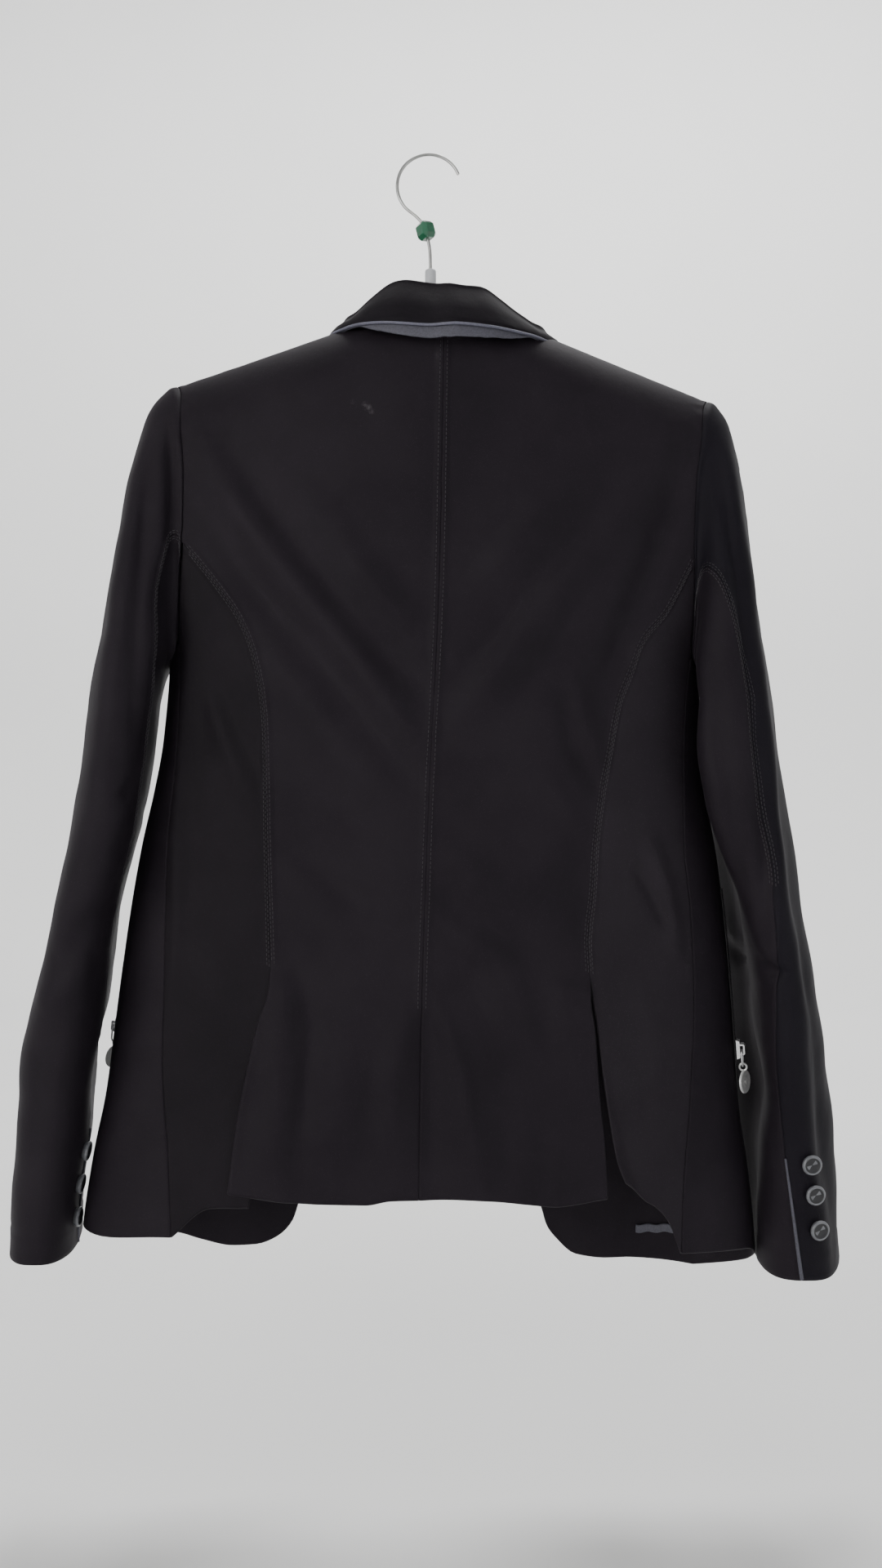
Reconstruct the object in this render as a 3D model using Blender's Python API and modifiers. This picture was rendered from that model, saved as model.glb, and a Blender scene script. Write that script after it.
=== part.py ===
"""A riding jacket that hangs on a wire hanger, with its back towards -Y.

The origin is the inside top of the hanger's hook. The jacket's pieces are grids on one outer
surface, which is a stack of flattened rings. A place on it is a turn (0 at the centre back, 90 at
the side, 180 at the centre front) and a height. The jacket hangs a little askew, by TILT.
"""
import math
from collections import namedtuple

import bmesh
import bpy
from mathutils import Matrix, Vector
from mathutils.bvhtree import BVHTree

LEFT, RIGHT = -1, 1
SIDES = ((LEFT, "left"), (RIGHT, "right"))

# Cloth and seams
CLOTH = 0.0016
SEAM_GAP = 0.0003
TRIM = 0.0012

# How the jacket hangs
TILT = 0.028
TILT_HEIGHT = -0.110
CENTRE_X = 0.012

# Rings of the body: half width, and depth of the back and of the front
Ring = namedtuple("Ring", "height half_width back front")
BODY = [
    Ring(-0.840, 0.2520, 0.060, 0.058),
    Ring(-0.800, 0.2495, 0.060, 0.057),
    Ring(-0.750, 0.2435, 0.058, 0.055),
    Ring(-0.700, 0.2350, 0.055, 0.052),
    Ring(-0.650, 0.230, 0.052, 0.049),
    Ring(-0.610, 0.226, 0.050, 0.047),
    Ring(-0.560, 0.220, 0.049, 0.046),
    Ring(-0.520, 0.214, 0.050, 0.046),
    Ring(-0.480, 0.206, 0.051, 0.047),
    Ring(-0.440, 0.200, 0.052, 0.048),
    Ring(-0.385, 0.197, 0.053, 0.050),
    Ring(-0.340, 0.212, 0.053, 0.050),
    Ring(-0.300, 0.225, 0.052, 0.048),
    Ring(-0.200, 0.245, 0.050, 0.044),
    Ring(-0.100, 0.250, 0.048, 0.042),
]
SQUARENESS = 2.4

# Shoulders, neck and armholes
NECK_X = 0.078
NECK_BACK = -0.150
TIP_X = 0.198
SHOULDER_AT_CENTRE = -0.1072
SHOULDER_SLOPE = 0.363
SHOULDER_ROLL = 0.045
SHOULDER_DROP = 0.150
NECK_DEPTH = 0.045
TIP_DEPTH = 0.030
ARMHOLE_MIDDLE = -0.282
ARMHOLE_HALF = 0.103
BACK_JUNCTION = 100.0
SIDE_JUNCTION = 150.0
FRONT_JUNCTION = 225.0

# The armhole on the back half: turn round the armhole from the shoulder, turn round the body
Armhole = namedtuple("Armhole", "way turn")
ARMHOLE = [
    Armhole(0, 49.7), Armhole(30, 47.5), Armhole(60, 47.4), Armhole(90, 50.0),
    Armhole(120, 57.5), Armhole(150, 68.5), Armhole(165, 78.0), Armhole(180, 90.0),
]

# Seams of the back, as the distance from the middle at each height
Seam = namedtuple("Seam", "height x")
CENTRE_BACK = [Seam(-0.770, 0.000), Seam(-0.620, -0.002), Seam(-0.490, -0.001), Seam(-0.330, 0.002),
               Seam(-0.150, 0.001)]
PRINCESS = {
    LEFT: [Seam(-0.602, 0.110), Seam(-0.530, 0.114), Seam(-0.466, 0.117), Seam(-0.431, 0.1186),
           Seam(-0.407, 0.1216), Seam(-0.380, 0.128), Seam(-0.354, 0.1395), Seam(-0.330, 0.157),
           Seam(-0.300, 0.183)],
    RIGHT: [Seam(-0.602, 0.1165), Seam(-0.575, 0.1145), Seam(-0.542, 0.117), Seam(-0.508, 0.118),
            Seam(-0.464, 0.123), Seam(-0.436, 0.127), Seam(-0.408, 0.1317), Seam(-0.383, 0.141),
            Seam(-0.361, 0.149), Seam(-0.340, 0.165), Seam(-0.300, 0.185)],
}
VENT_TOP = -0.602
FLAP_EDGE = {
    LEFT: [Seam(-0.770, 0.135), Seam(-0.713, 0.130), Seam(-0.669, 0.123), Seam(-0.640, 0.117),
           Seam(-0.618, 0.1105), Seam(-0.602, 0.110)],
    RIGHT: [Seam(-0.770, 0.1325), Seam(-0.721, 0.129), Seam(-0.688, 0.125), Seam(-0.640, 0.1205),
            Seam(-0.618, 0.117), Seam(-0.602, 0.1165)],
}
VENT_EDGE = {
    LEFT: [Seam(-0.770, 0.120), Seam(-0.700, 0.115), Seam(-0.660, 0.112), Seam(-0.602, 0.110)],
    RIGHT: [Seam(-0.745, 0.144), Seam(-0.730, 0.138), Seam(-0.688, 0.130), Seam(-0.637, 0.123),
            Seam(-0.602, 0.1165)],
}
SIDE_SEAM = {
    LEFT: [Seam(-0.800, 0.175), Seam(-0.739, 0.180), Seam(-0.677, 0.187), Seam(-0.635, 0.188),
           Seam(-0.533, 0.190), Seam(-0.430, 0.185), Seam(-0.370, 0.186)],
    RIGHT: [Seam(-0.800, 0.187), Seam(-0.748, 0.188), Seam(-0.692, 0.192), Seam(-0.625, 0.194),
            Seam(-0.556, 0.190), Seam(-0.508, 0.184), Seam(-0.430, 0.182), Seam(-0.370, 0.186)],
}

# Hem lines: distance from the middle and height
Hem = namedtuple("Hem", "x height")
BACK_HEM = {
    LEFT: [Hem(0.000, -0.760), Hem(0.020, -0.7610), Hem(0.038, -0.7645), Hem(0.073, -0.7650),
           Hem(0.135, -0.7600)],
    RIGHT: [Hem(0.000, -0.760), Hem(0.020, -0.7590), Hem(0.054, -0.7595), Hem(0.090, -0.7620),
            Hem(0.1325, -0.7560)],
}
SIDE_HEM = {
    LEFT: [Hem(0.120, -0.770), Hem(0.147, -0.772), Hem(0.175, -0.7950)],
    RIGHT: [Hem(0.144, -0.745), Hem(0.150, -0.7495), Hem(0.160, -0.7590), Hem(0.169, -0.7645),
            Hem(0.178, -0.7750), Hem(0.187, -0.7970)],
}
UNDERARM_HEM = {LEFT: (-0.7950, -0.8020, -0.8010, -0.8180),
                RIGHT: (-0.7970, -0.8000, -0.8200, -0.8350)}
FRONT_HEM = {
    LEFT: [Hem(0.210, -0.8180), Hem(0.187, -0.8245), Hem(0.170, -0.8305), Hem(0.146, -0.8356),
           Hem(0.129, -0.8350), Hem(0.112, -0.8285), Hem(0.101, -0.8160), Hem(0.097, -0.8030)],
    RIGHT: [Hem(0.210, -0.8350), Hem(0.190, -0.8345), Hem(0.167, -0.8350), Hem(0.141, -0.8375),
            Hem(0.124, -0.8360), Hem(0.109, -0.8250), Hem(0.101, -0.8150), Hem(0.097, -0.8030)],
}
FRONT_BORDER_TURN = 125.0

# Front edge: roll line of the lapel, button stand, cutaway
LAPEL_BREAK = -0.345
FRONT_EDGE = [Seam(-0.803, 0.097), Seam(-0.750, 0.079), Seam(-0.700, 0.059), Seam(-0.650, 0.038),
              Seam(-0.600, 0.018), Seam(-0.560, 0.003), Seam(-0.530, -0.008), Seam(-0.500, -0.014),
              Seam(-0.450, -0.015), Seam(-0.380, -0.015), Seam(-0.345, -0.015), Seam(-0.300, 0.010),
              Seam(-0.230, 0.042), Seam(-0.175, 0.066), Seam(-0.1355, 0.078)]
OVERLAP = 0.0026
OVERLAP_START = 0.045
BUTTON_HEIGHTS = (-0.375, -0.445, -0.515)

# Vent flap of the back, which lies over the side
FLAP_LIFT = 0.0034
FLAP_RAMP = 0.012
FLAP_START, FLAP_END = 0.080, 0.100

# Largest folds: start, end, height of the ridge or hollow, half width, bow of its middle
Fold = namedtuple("Fold", "name x0 z0 x1 z1 lift half bow")
FOLDS = [
    Fold("left drag ridge", -0.176, -0.222, -0.005, -0.447, 0.0060, 0.018, -0.004),
    Fold("left drag hollow", -0.144, -0.238, -0.006, -0.405, -0.0035, 0.016, -0.004),
    Fold("left lower hollow", -0.164, -0.292, -0.013, -0.474, -0.0030, 0.015, -0.002),
    Fold("left faint ridge", -0.128, -0.370, -0.050, -0.462, 0.0020, 0.010, 0.0),
    Fold("right drag ridge", 0.164, -0.218, 0.012, -0.432, 0.0060, 0.018, 0.003),
    Fold("right drag hollow", 0.106, -0.280, 0.006, -0.416, -0.0035, 0.012, 0.0),
    Fold("right faint ridge", 0.068, -0.264, 0.010, -0.312, 0.0020, 0.010, 0.0),
    Fold("right armhole hollow", 0.173, -0.232, 0.122, -0.402, -0.0055, 0.017, 0.004),
    Fold("right waist ridge", 0.096, -0.383, 0.120, -0.450, 0.0025, 0.010, 0.0),
    Fold("waist hollow", 0.000, -0.542, 0.058, -0.577, -0.0035, 0.010, 0.0),
    Fold("pleat hollow", 0.000, -0.628, 0.001, -0.742, -0.0055, 0.014, 0.0),
    Fold("pleat ridge", 0.010, -0.622, 0.040, -0.730, 0.0045, 0.010, 0.006),
    Fold("right skirt ridge", 0.060, -0.597, 0.086, -0.700, 0.0030, 0.012, 0.0),
    Fold("left skirt ridge", -0.048, -0.612, -0.062, -0.735, 0.0030, 0.014, 0.0),
    Fold("left side ridge", -0.180, -0.330, -0.184, -0.600, 0.0030, 0.010, 0.003),
    Fold("right side crease", 0.147, -0.515, 0.177, -0.575, -0.0030, 0.009, 0.0),
]

# Sleeve rings: outer and inner side, middle and half depth, how far the elbow seam turns inwards,
# how far the back of the ring leans towards the body, how far its corner laps over the body behind,
# and how far its corner at the front is tucked towards the body
Arm = namedtuple("Arm", "height outer inner middle depth seam lean lobe tuck")
ARMS = {
    LEFT: [
        Arm(-0.812, 0.3125, 0.2640, 0.010, 0.052, 84, 0.006, 0.0, 0.0),
        Arm(-0.770, 0.3105, 0.2610, 0.008, 0.053, 84, 0.007, 0.0, 0.0),
        Arm(-0.737, 0.3080, 0.2555, 0.006, 0.055, 83, 0.008, 0.0, 0.0),
        Arm(-0.705, 0.3050, 0.2505, 0.004, 0.056, 81, 0.008, 0.0, 0.0),
        Arm(-0.664, 0.3010, 0.2440, 0.001, 0.058, 78, 0.009, 0.0, 0.0),
        Arm(-0.623, 0.2910, 0.2385, -0.002, 0.060, 74, 0.009, 0.0, 0.0),
        Arm(-0.585, 0.2815, 0.2335, -0.004, 0.061, 68, 0.009, 0.0, 0.0),
        Arm(-0.550, 0.2740, 0.2275, -0.005, 0.062, 66, 0.010, 0.0, 0.0),
        Arm(-0.521, 0.2680, 0.2200, -0.004, 0.063, 64, 0.011, 0.0, 0.0),
        Arm(-0.480, 0.2605, 0.2110, -0.003, 0.064, 60, 0.012, 0.0, 0.0),
        Arm(-0.440, 0.2550, 0.2045, -0.002, 0.064, 55, 0.012, 0.0, 0.0),
        Arm(-0.408, 0.2515, 0.2010, -0.001, 0.063, 50, 0.012, 0.0, 0.0),
    ],
    RIGHT: [
        Arm(-0.822, 0.3090, 0.2470, 0.008, 0.052, 6, 0.010, 0.0, 0.030),
        Arm(-0.770, 0.3070, 0.2460, 0.006, 0.053, 18, 0.010, 0.0, 0.033),
        Arm(-0.722, 0.3030, 0.2445, 0.004, 0.055, 32, 0.010, 0.0, 0.034),
        Arm(-0.663, 0.2960, 0.2425, 0.000, 0.057, 44, 0.009, 0.0, 0.036),
        Arm(-0.620, 0.2880, 0.2390, -0.002, 0.059, 42, 0.008, 0.0, 0.034),
        Arm(-0.588, 0.2820, 0.2340, -0.004, 0.060, 35, 0.008, 0.0, 0.031),
        Arm(-0.550, 0.2755, 0.2270, -0.005, 0.061, 22, 0.010, 0.002, 0.027),
        Arm(-0.521, 0.2730, 0.2225, -0.004, 0.062, 14, 0.013, 0.008, 0.019),
        Arm(-0.480, 0.2680, 0.2175, -0.003, 0.063, 8, 0.017, 0.0145, 0.010),
        Arm(-0.440, 0.2625, 0.2135, -0.002, 0.064, 5, 0.018, 0.015, 0.004),
        Arm(-0.408, 0.2590, 0.2120, -0.001, 0.063, 5, 0.017, 0.012, 0.0),
    ],
}
ARM_SQUARENESS = 2.6
ARM_START = -0.408
SLEEVE_SEAM_GAP = 0.0005
ARMHOLE_GAP, TIP_GAP, FRONT_GAP = 0.0005, 0.0008, 0.0012
CAP_OUT = {LEFT: 0.145, RIGHT: 0.115}
CAP_DOWN, CAP_ROUND = 0.72, 0.125

# Sleeve folds on the side that faces back: heights, place across the sleeve, lift, half width
ArmFold = namedtuple("ArmFold", "name z0 u0 z1 u1 lift half")
ARM_FOLDS = {
    LEFT: [ArmFold("head ridge", -0.205, 0.10, -0.290, 0.25, 0.0030, 0.16),
           ArmFold("outer crease", -0.250, 0.45, -0.450, 0.10, -0.0040, 0.24),
           ArmFold("elbow ridge", -0.520, 0.20, -0.640, -0.20, 0.0030, 0.20),
           ArmFold("cuff hollow", -0.700, -0.20, -0.790, 0.20, -0.0020, 0.25)],
    RIGHT: [ArmFold("head ridge", -0.205, 0.20, -0.300, 0.40, 0.0030, 0.18),
            ArmFold("long crease", -0.232, 0.10, -0.590, -0.20, -0.0035, 0.24),
            ArmFold("elbow ridge", -0.560, -0.35, -0.640, 0.30, 0.0030, 0.18),
            ArmFold("cuff hollow", -0.690, 0.30, -0.780, 0.60, -0.0020, 0.22)],
}

# Collar: distance along the neckline, height and width of its parts
CollarAt = namedtuple("CollarAt", "way fold_out fold_left fold_right edge_out edge_up")
COLLAR = [
    CollarAt(0.00, -0.003, 0.0392, 0.0392, 0.0145, 0.0035),
    CollarAt(0.15, -0.003, 0.0405, 0.0372, 0.0145, 0.0030),
    CollarAt(0.26, -0.004, 0.0310, 0.0205, 0.0130, 0.0010),
    CollarAt(0.40, -0.005, 0.0170, 0.0155, 0.0115, -0.0010),
    CollarAt(0.58, -0.004, 0.0145, 0.0145, 0.0100, -0.0045),
    CollarAt(0.70, 0.002, 0.0125, 0.0125, 0.0095, -0.0160),
    CollarAt(0.85, 0.002, 0.0110, 0.0110, 0.0092, -0.0270),
    CollarAt(1.00, 0.002, 0.0105, 0.0105, 0.0092, -0.0340),
]
COLLAR_TURNS, COLLAR_LIES = 0.40, 0.72
COLLAR_END = -0.205
COLLAR_BASE, COLLAR_CLEAR = 0.0008, 0.0022
COLLAR_INSET, FOLD_RADIUS = 0.0040, 0.0045
PIPING_RADIUS = 0.0010

# Cuff buttons and front buttons
BUTTON_RADIUS = 0.0076
BUTTON_HEIGHT = 0.0042
BUTTON_DISH = 0.0012
FRONT_BUTTON_RADIUS = 0.0100
CUFF_BUTTON_HEIGHTS = {LEFT: (-0.739, -0.764, -0.789), RIGHT: (-0.739, -0.7615, -0.787)}
CUFF_BUTTON_OFFSET = 0.0135
CUFF_VENT = 0.088

# Zip of the side pocket
ZIP_TURN = {LEFT: 99.0, RIGHT: 84.0}
ZIP_TOP, ZIP_BOTTOM = -0.540, -0.682
TAPE_WIDTH, TAPE_GAP = 0.010, 0.0006
SLIDER_HEIGHT = -0.6585
SLIDER_LENGTH, SLIDER_WIDTH, SLIDER_BASE = 0.0140, 0.0080, 0.0024
BRIDGE_HEIGHT, BRIDGE_LENGTH, BRIDGE_WIRE = 0.0036, 0.0080, 0.0011
RING_WIRE = 0.0007
RING_LENGTH, RING_WIDTH = 0.0120, 0.0095
LINK_WIRE, LINK_RADIUS = 0.0007, 0.0026
DISC_RADIUS, DISC_THICKNESS = 0.0085, 0.0020

# Inner strip near the right front's hem
STRIP_HEIGHT, STRIP_WIDTH = -0.810, 0.007
STRIP_START, STRIP_END = 0.170, 0.205

# Hanger
HOOK_WIRE = 0.0012
HOOK_RADIUS = 0.0237
BEAD_SIDE = 0.0125
FERRULE_RADIUS, FERRULE_LENGTH, FERRULE_TOP = 0.0042, 0.0216, -0.0853
ARMS_HALF_WIDTH = 0.0060
HangerArm = namedtuple("HangerArm", "x lower half_height")
HANGER = [HangerArm(0.030, 0.0120, 0.0070), HangerArm(0.072, 0.0130, 0.0070),
          HangerArm(0.105, 0.0082, 0.0070), HangerArm(0.150, 0.0076, 0.0065),
          HangerArm(0.182, 0.0066, 0.0050)]
HANGER_MIDDLE = HangerArm(-0.0108, 0.0040, 0.0105)


def read(rows, name, key):
    """Value of a column at a key, on a smooth curve through the rows (first column is the key)."""
    rows = sorted(rows, key=lambda row: row[0])
    keys = [row[0] for row in rows]
    values = [getattr(row, name) for row in rows]
    if key <= keys[0]:
        return values[0]
    if key >= keys[-1]:
        return values[-1]
    i = max(n for n in range(len(keys) - 1) if keys[n] <= key)
    span = keys[i + 1] - keys[i]
    slope = (values[i + 1] - values[i]) / span

    def tangent(n):
        if n in (0, len(keys) - 1):
            return slope
        before = (values[n] - values[n - 1]) / (keys[n] - keys[n - 1])
        after = (values[n + 1] - values[n]) / (keys[n + 1] - keys[n])
        return 0.0 if before * after <= 0 else 2 * before * after / (before + after)

    t = (key - keys[i]) / span
    start, end = tangent(i) * span, tangent(i + 1) * span
    return ((2 * t ** 3 - 3 * t ** 2 + 1) * values[i] + (t ** 3 - 2 * t ** 2 + t) * start
            + (3 * t ** 2 - 2 * t ** 3) * values[i + 1] + (t ** 3 - t ** 2) * end)


def ease(value):
    value = min(1.0, max(0.0, value))
    return value * value * (3 - 2 * value)


def mix(a, b, t):
    return a + (b - a) * t


def hang(point):
    """Turn a point of the upright jacket to the way it hangs."""
    x, y, z = point
    cos, sin = math.cos(TILT), math.sin(TILT)
    z = z - TILT_HEIGHT
    x = x + CENTRE_X
    return Vector((x * cos + z * sin, y, z * cos - x * sin + TILT_HEIGHT))


def shoulder_line(x):
    return SHOULDER_AT_CENTRE - SHOULDER_SLOPE * abs(x)


def neck_line(x):
    rise = shoulder_line(NECK_X) - NECK_BACK
    return NECK_BACK + rise * min(1.0, abs(x) / NECK_X) ** 2


def turn_at(x, height):
    """Turn of the back surface at a distance from the middle; the front is 180 minus this."""
    share = x / read(BODY, "half_width", height)
    share = math.copysign(min(1.0, abs(share)) ** (SQUARENESS / 2), share)
    return math.degrees(math.asin(share))


def fold_lift(x, z):
    """How far the back's folds stand out at a place."""
    lift = 0.0
    for fold in FOLDS:
        dx, dz = fold.x1 - fold.x0, fold.z1 - fold.z0
        length = math.hypot(dx, dz)
        t = ((x - fold.x0) * dx + (z - fold.z0) * dz) / length ** 2
        if not -0.25 < t < 1.25:
            continue
        off = ((x - fold.x0) * dz - (z - fold.z0) * dx) / length
        off -= fold.bow * (1 - (2 * t - 1) ** 2)
        fade = ease((t + 0.25) / 0.4) * ease((1.25 - t) / 0.4)
        lift += fold.lift * fade * math.exp(-(off / fold.half) ** 2)
    return lift


def body_point(turn, height, side, layer=0.0):
    """Point of the outer surface, before the jacket is hung; layer raises it off the middle."""
    sin, cos = math.sin(math.radians(turn)), math.cos(math.radians(turn))
    power = 2 / SQUARENESS
    x = read(BODY, "half_width", height) * math.copysign(abs(sin) ** power, sin)
    below = max(0.0, shoulder_line(x) - height)
    roll = math.sqrt(1 - (1 - min(1.0, below / SHOULDER_ROLL)) ** 2)
    at_shoulder = mix(NECK_DEPTH, TIP_DEPTH, min(1.0, abs(x) / TIP_X))
    full = read(BODY, "back" if cos > 0 else "front", height)
    deep = mix(at_shoulder, full, ease(below / SHOULDER_DROP)) * abs(cos) ** power * roll
    if cos > 0:
        deep += fold_lift(side * x, height) * min(1.0, cos * 1.6) * roll
    deep += layer
    return Vector((side * x, -deep if cos > 0 else deep, height))


def body_normal(turn, height, side, layer=None):
    lift = layer or (lambda t, h: 0.0)
    step, drop = 0.5, 0.00001
    a = body_point(turn - step, height, side, lift(turn - step, height))
    b = body_point(turn + step, height, side, lift(turn + step, height))
    up = body_point(turn, height, side, lift(turn, height))
    down = body_point(turn, height - drop, side, lift(turn, height - drop))
    normal = (b - a).cross(up - down) * side
    return normal.normalized()


def through(points, share):
    """Point at a share of the length of a smooth curve through (turn, height) pairs."""
    scale = 0.0035
    lengths = [0.0]
    for a, b in zip(points, points[1:]):
        lengths.append(lengths[-1] + math.hypot((b[0] - a[0]) * scale, b[1] - a[1]))
    Row = namedtuple("Row", "way turn height")
    rows = [Row(n / lengths[-1], *point) for n, point in zip(lengths, points)]
    return read(rows, "turn", share), read(rows, "height", share)


def patch(top, bottom, left, right, columns):
    """Grid of (turn, height) pairs between four edges; left and right are lists, row by row."""
    rows = []
    shares = [(point[1] - right[0][1]) / (right[-1][1] - right[0][1]) for point in right]
    for v, start, end in zip(shares, left, right):
        row = []
        for u in columns:
            cell = []
            for n in (0, 1):
                across = mix(start[n], end[n], u)
                corner = mix(mix(left[0][n], right[0][n], u), mix(left[-1][n], right[-1][n], u), v)
                cell.append(across + mix(top(u)[n], bottom(u)[n], v) - corner)
            row.append(tuple(cell))
        rows.append(row)
    return rows


def sheet_points(grid, side, layer=None):
    """Outer points and normals, hung, of a grid of places on the body."""
    lift = layer or (lambda turn, height: 0.0)
    points = [[body_point(t, h, side, lift(t, h)) for t, h in row] for row in grid]
    normals = [[body_normal(t, h, side, layer) for t, h in row] for row in grid]
    return points, normals


def draw_in(points, edges, amount=SEAM_GAP / 2):
    """Move the named edges of a grid of points inwards, along the cloth."""
    rows, columns = len(points), len(points[0])
    moves = []
    for edge in edges:
        if edge in ("left", "right"):
            j, k = (0, 1) if edge == "left" else (columns - 1, columns - 2)
            cells = [((i, j), (i, k), (max(0, i - 1), j), (min(rows - 1, i + 1), j)) for i in range(rows)]
        else:
            i, k = (0, 1) if edge == "top" else (rows - 1, rows - 2)
            cells = [((i, j), (k, j), (i, max(0, j - 1)), (i, min(columns - 1, j + 1)))
                     for j in range(columns)]
        for place, inside, before, after in cells:
            along = points[after[0]][after[1]] - points[before[0]][before[1]]
            inward = points[inside[0]][inside[1]] - points[place[0]][place[1]]
            along.normalize()
            inward -= along * inward.dot(along)
            moves.append((place, inward.normalized() * amount))
    for (i, j), move in moves:
        points[i][j] = points[i][j] + move


def colour(name, rgb, roughness, metallic=0.0):
    """Plain material in a Principled shader."""
    material = bpy.data.materials.new(name)
    material.use_nodes = True
    shader = material.node_tree.nodes["Principled BSDF"]
    shader.inputs["Base Color"].default_value = (*rgb, 1.0)
    shader.inputs["Roughness"].default_value = roughness
    shader.inputs["Metallic"].default_value = metallic
    return material


def add_object(name, mesh, material, smooth=True):
    piece = bpy.data.objects.new(name, mesh)
    mesh.materials.clear()
    mesh.materials.append(material)
    jacket.objects.link(piece)
    if smooth:
        mesh.shade_smooth()
        mesh.set_sharp_from_angle(angle=math.radians(40))
    return piece


def wall(name, blocks, material, thickness=CLOTH):
    """Closed cloth wall from blocks of outer points and normals; equal edge points are shared."""
    bm = bmesh.new()
    pairs = {}

    def corner(point, normal):
        key = tuple(round(c, 6) for c in point)
        if key not in pairs:
            pairs[key] = (bm.verts.new(point), bm.verts.new(point - normal * thickness))
        return pairs[key]

    for points, normals in blocks:
        cells = [[corner(p, n) for p, n in zip(*row)] for row in zip(points, normals)]
        for upper, lower in zip(cells, cells[1:]):
            for a, b, c, d in zip(upper, upper[1:], lower[1:], lower):
                bm.faces.new((a[0], b[0], c[0]))
                bm.faces.new((a[0], c[0], d[0]))
    inner = {outer: back for outer, back in pairs.values()}
    faces = list(bm.faces)
    rim = [edge.link_loops[0] for edge in bm.edges if len(edge.link_faces) == 1]
    rim = [(loop.vert, loop.link_loop_next.vert) for loop in rim]
    for face in faces:
        bm.faces.new([inner[v] for v in reversed(face.verts)])
    for a, b in rim:
        bm.faces.new((b, a, inner[a], inner[b]))
    bmesh.ops.recalc_face_normals(bm, faces=bm.faces)
    mesh = bpy.data.meshes.new(name)
    bm.to_mesh(mesh)
    bm.free()
    return add_object(name, mesh, material)


def hung(points):
    return [[hang(p) for p in row] for row in points]


def hung_normals(normals):
    origin = hang((0, 0, 0))
    return [[hang(n) - origin for n in row] for row in normals]


# Rows of the panels: the armhole's heights, then the skirt's
ARMHOLE_ROWS = 8
SKIRT_ROWS = 19
NECK_COLUMNS = 4
SHOULDER_COLUMNS = 7
SIDE_COLUMNS = 5
UNDER_SLEEVE_COLUMNS = 8


def armhole_height(way):
    return ARMHOLE_MIDDLE + ARMHOLE_HALF * math.cos(math.radians(way))


def armhole_place(way):
    """Place on the body at a way round the armhole, from the shoulder by the back."""
    back_way = way if way <= 180 else 360 - way
    turn = read(ARMHOLE, "turn", back_way)
    return (turn if way <= 180 else 180 - turn), armhole_height(way)


def even(start, end, count):
    return [mix(start, end, n / count) for n in range(count + 1)]


def back_edge(side):
    """Outer edge of the back: armhole, then princess seam, then the flap of the vent."""
    ways = [BACK_JUNCTION * (n / ARMHOLE_ROWS) for n in range(ARMHOLE_ROWS + 1)]
    edge = [armhole_place(way) for way in ways]
    edge += [(turn_at(princess_x(side, z), z), z) for z in skirt_heights(side)[1:]]
    return edge


def princess_x(side, height):
    return read(PRINCESS[side] if height > VENT_TOP else FLAP_EDGE[side], "x", height)


def side_edge_x(side, height):
    return read(PRINCESS[side] if height > VENT_TOP else VENT_EDGE[side], "x", height)


def skirt_heights(side):
    """Heights of the rows below the armhole, closer together round the curve of the seam."""
    start, end = armhole_height(BACK_JUNCTION), BACK_HEM[side][-1].height
    return [mix(start, end, (n / SKIRT_ROWS) ** 1.15) for n in range(SKIRT_ROWS + 1)]


def flap_layer(side):
    """Lift of the back's vent flap off the side."""
    def layer(turn, height):
        x = abs(read(BODY, "half_width", height) * math.sin(math.radians(turn)) ** (2 / SQUARENESS)
                if turn > 0 else 0.0)
        return (FLAP_LIFT * ease((VENT_TOP - height) / FLAP_RAMP)
                * ease((x - FLAP_START) / (FLAP_END - FLAP_START)))
    return layer


def back_panel(side):
    right = back_edge(side)
    depth = [(z - right[0][1]) / (right[-1][1] - right[0][1]) for _, z in right]
    hem = BACK_HEM[side][0].height
    left = []
    for v in depth:
        z = mix(NECK_BACK, hem, v)
        left.append((turn_at(side * read(CENTRE_BACK, "x", z), z), z))
    columns = even(0.0, 0.40, NECK_COLUMNS) + even(0.40, 1.0, SHOULDER_COLUMNS)[1:]

    def top(u):
        x = mix(0.0, NECK_X, u / 0.40) if u <= 0.40 else mix(NECK_X, TIP_X, (u - 0.40) / 0.60)
        if u == 0:
            return left[0]
        if u == 1:
            return right[0]
        z = neck_line(x) if u < 0.40 else shoulder_line(x)
        return turn_at(x, z), z

    def bottom(u):
        x = BACK_HEM[side][-1].x * u
        z = read(BACK_HEM[side], "height", x)
        return (left[-1] if u == 0 else right[-1] if u == 1 else (turn_at(x, z), z))

    layer = flap_layer(side)
    grid = patch(top, bottom, left, right, columns)
    points, normals = sheet_points(grid, side, layer)
    draw_in(points, ("left", "right"))
    shoulder = [row[NECK_COLUMNS:] for row in points]
    draw_in(shoulder, ("top",))
    for row, cut in zip(points, shoulder):
        row[NECK_COLUMNS:] = cut
    return hung(points), hung_normals(normals)


def side_panel(side):
    low = SIDE_HEM[side][0].height
    heights = skirt_heights(side)
    stretch = (low - VENT_TOP) / (heights[-1] - VENT_TOP)
    heights = [z if z > VENT_TOP else VENT_TOP + (z - VENT_TOP) * stretch for z in heights]
    left = [armhole_place(BACK_JUNCTION)]
    left += [(turn_at(side_edge_x(side, z), z), z) for z in heights[1:]]
    right = side_seam(side)
    ways = even(BACK_JUNCTION, SIDE_JUNCTION, SIDE_COLUMNS)
    hem = [(turn_at(row.x, row.height), row.height) for row in SIDE_HEM[side]]
    grid = patch(lambda u: armhole_place(mix(ways[0], ways[-1], u)), lambda u: through(hem, u),
                 left, right, even(0.0, 1.0, SIDE_COLUMNS))
    points, normals = sheet_points(grid, side)
    draw_in(points, ("left", "right"))
    return hung(points), hung_normals(normals)


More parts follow.
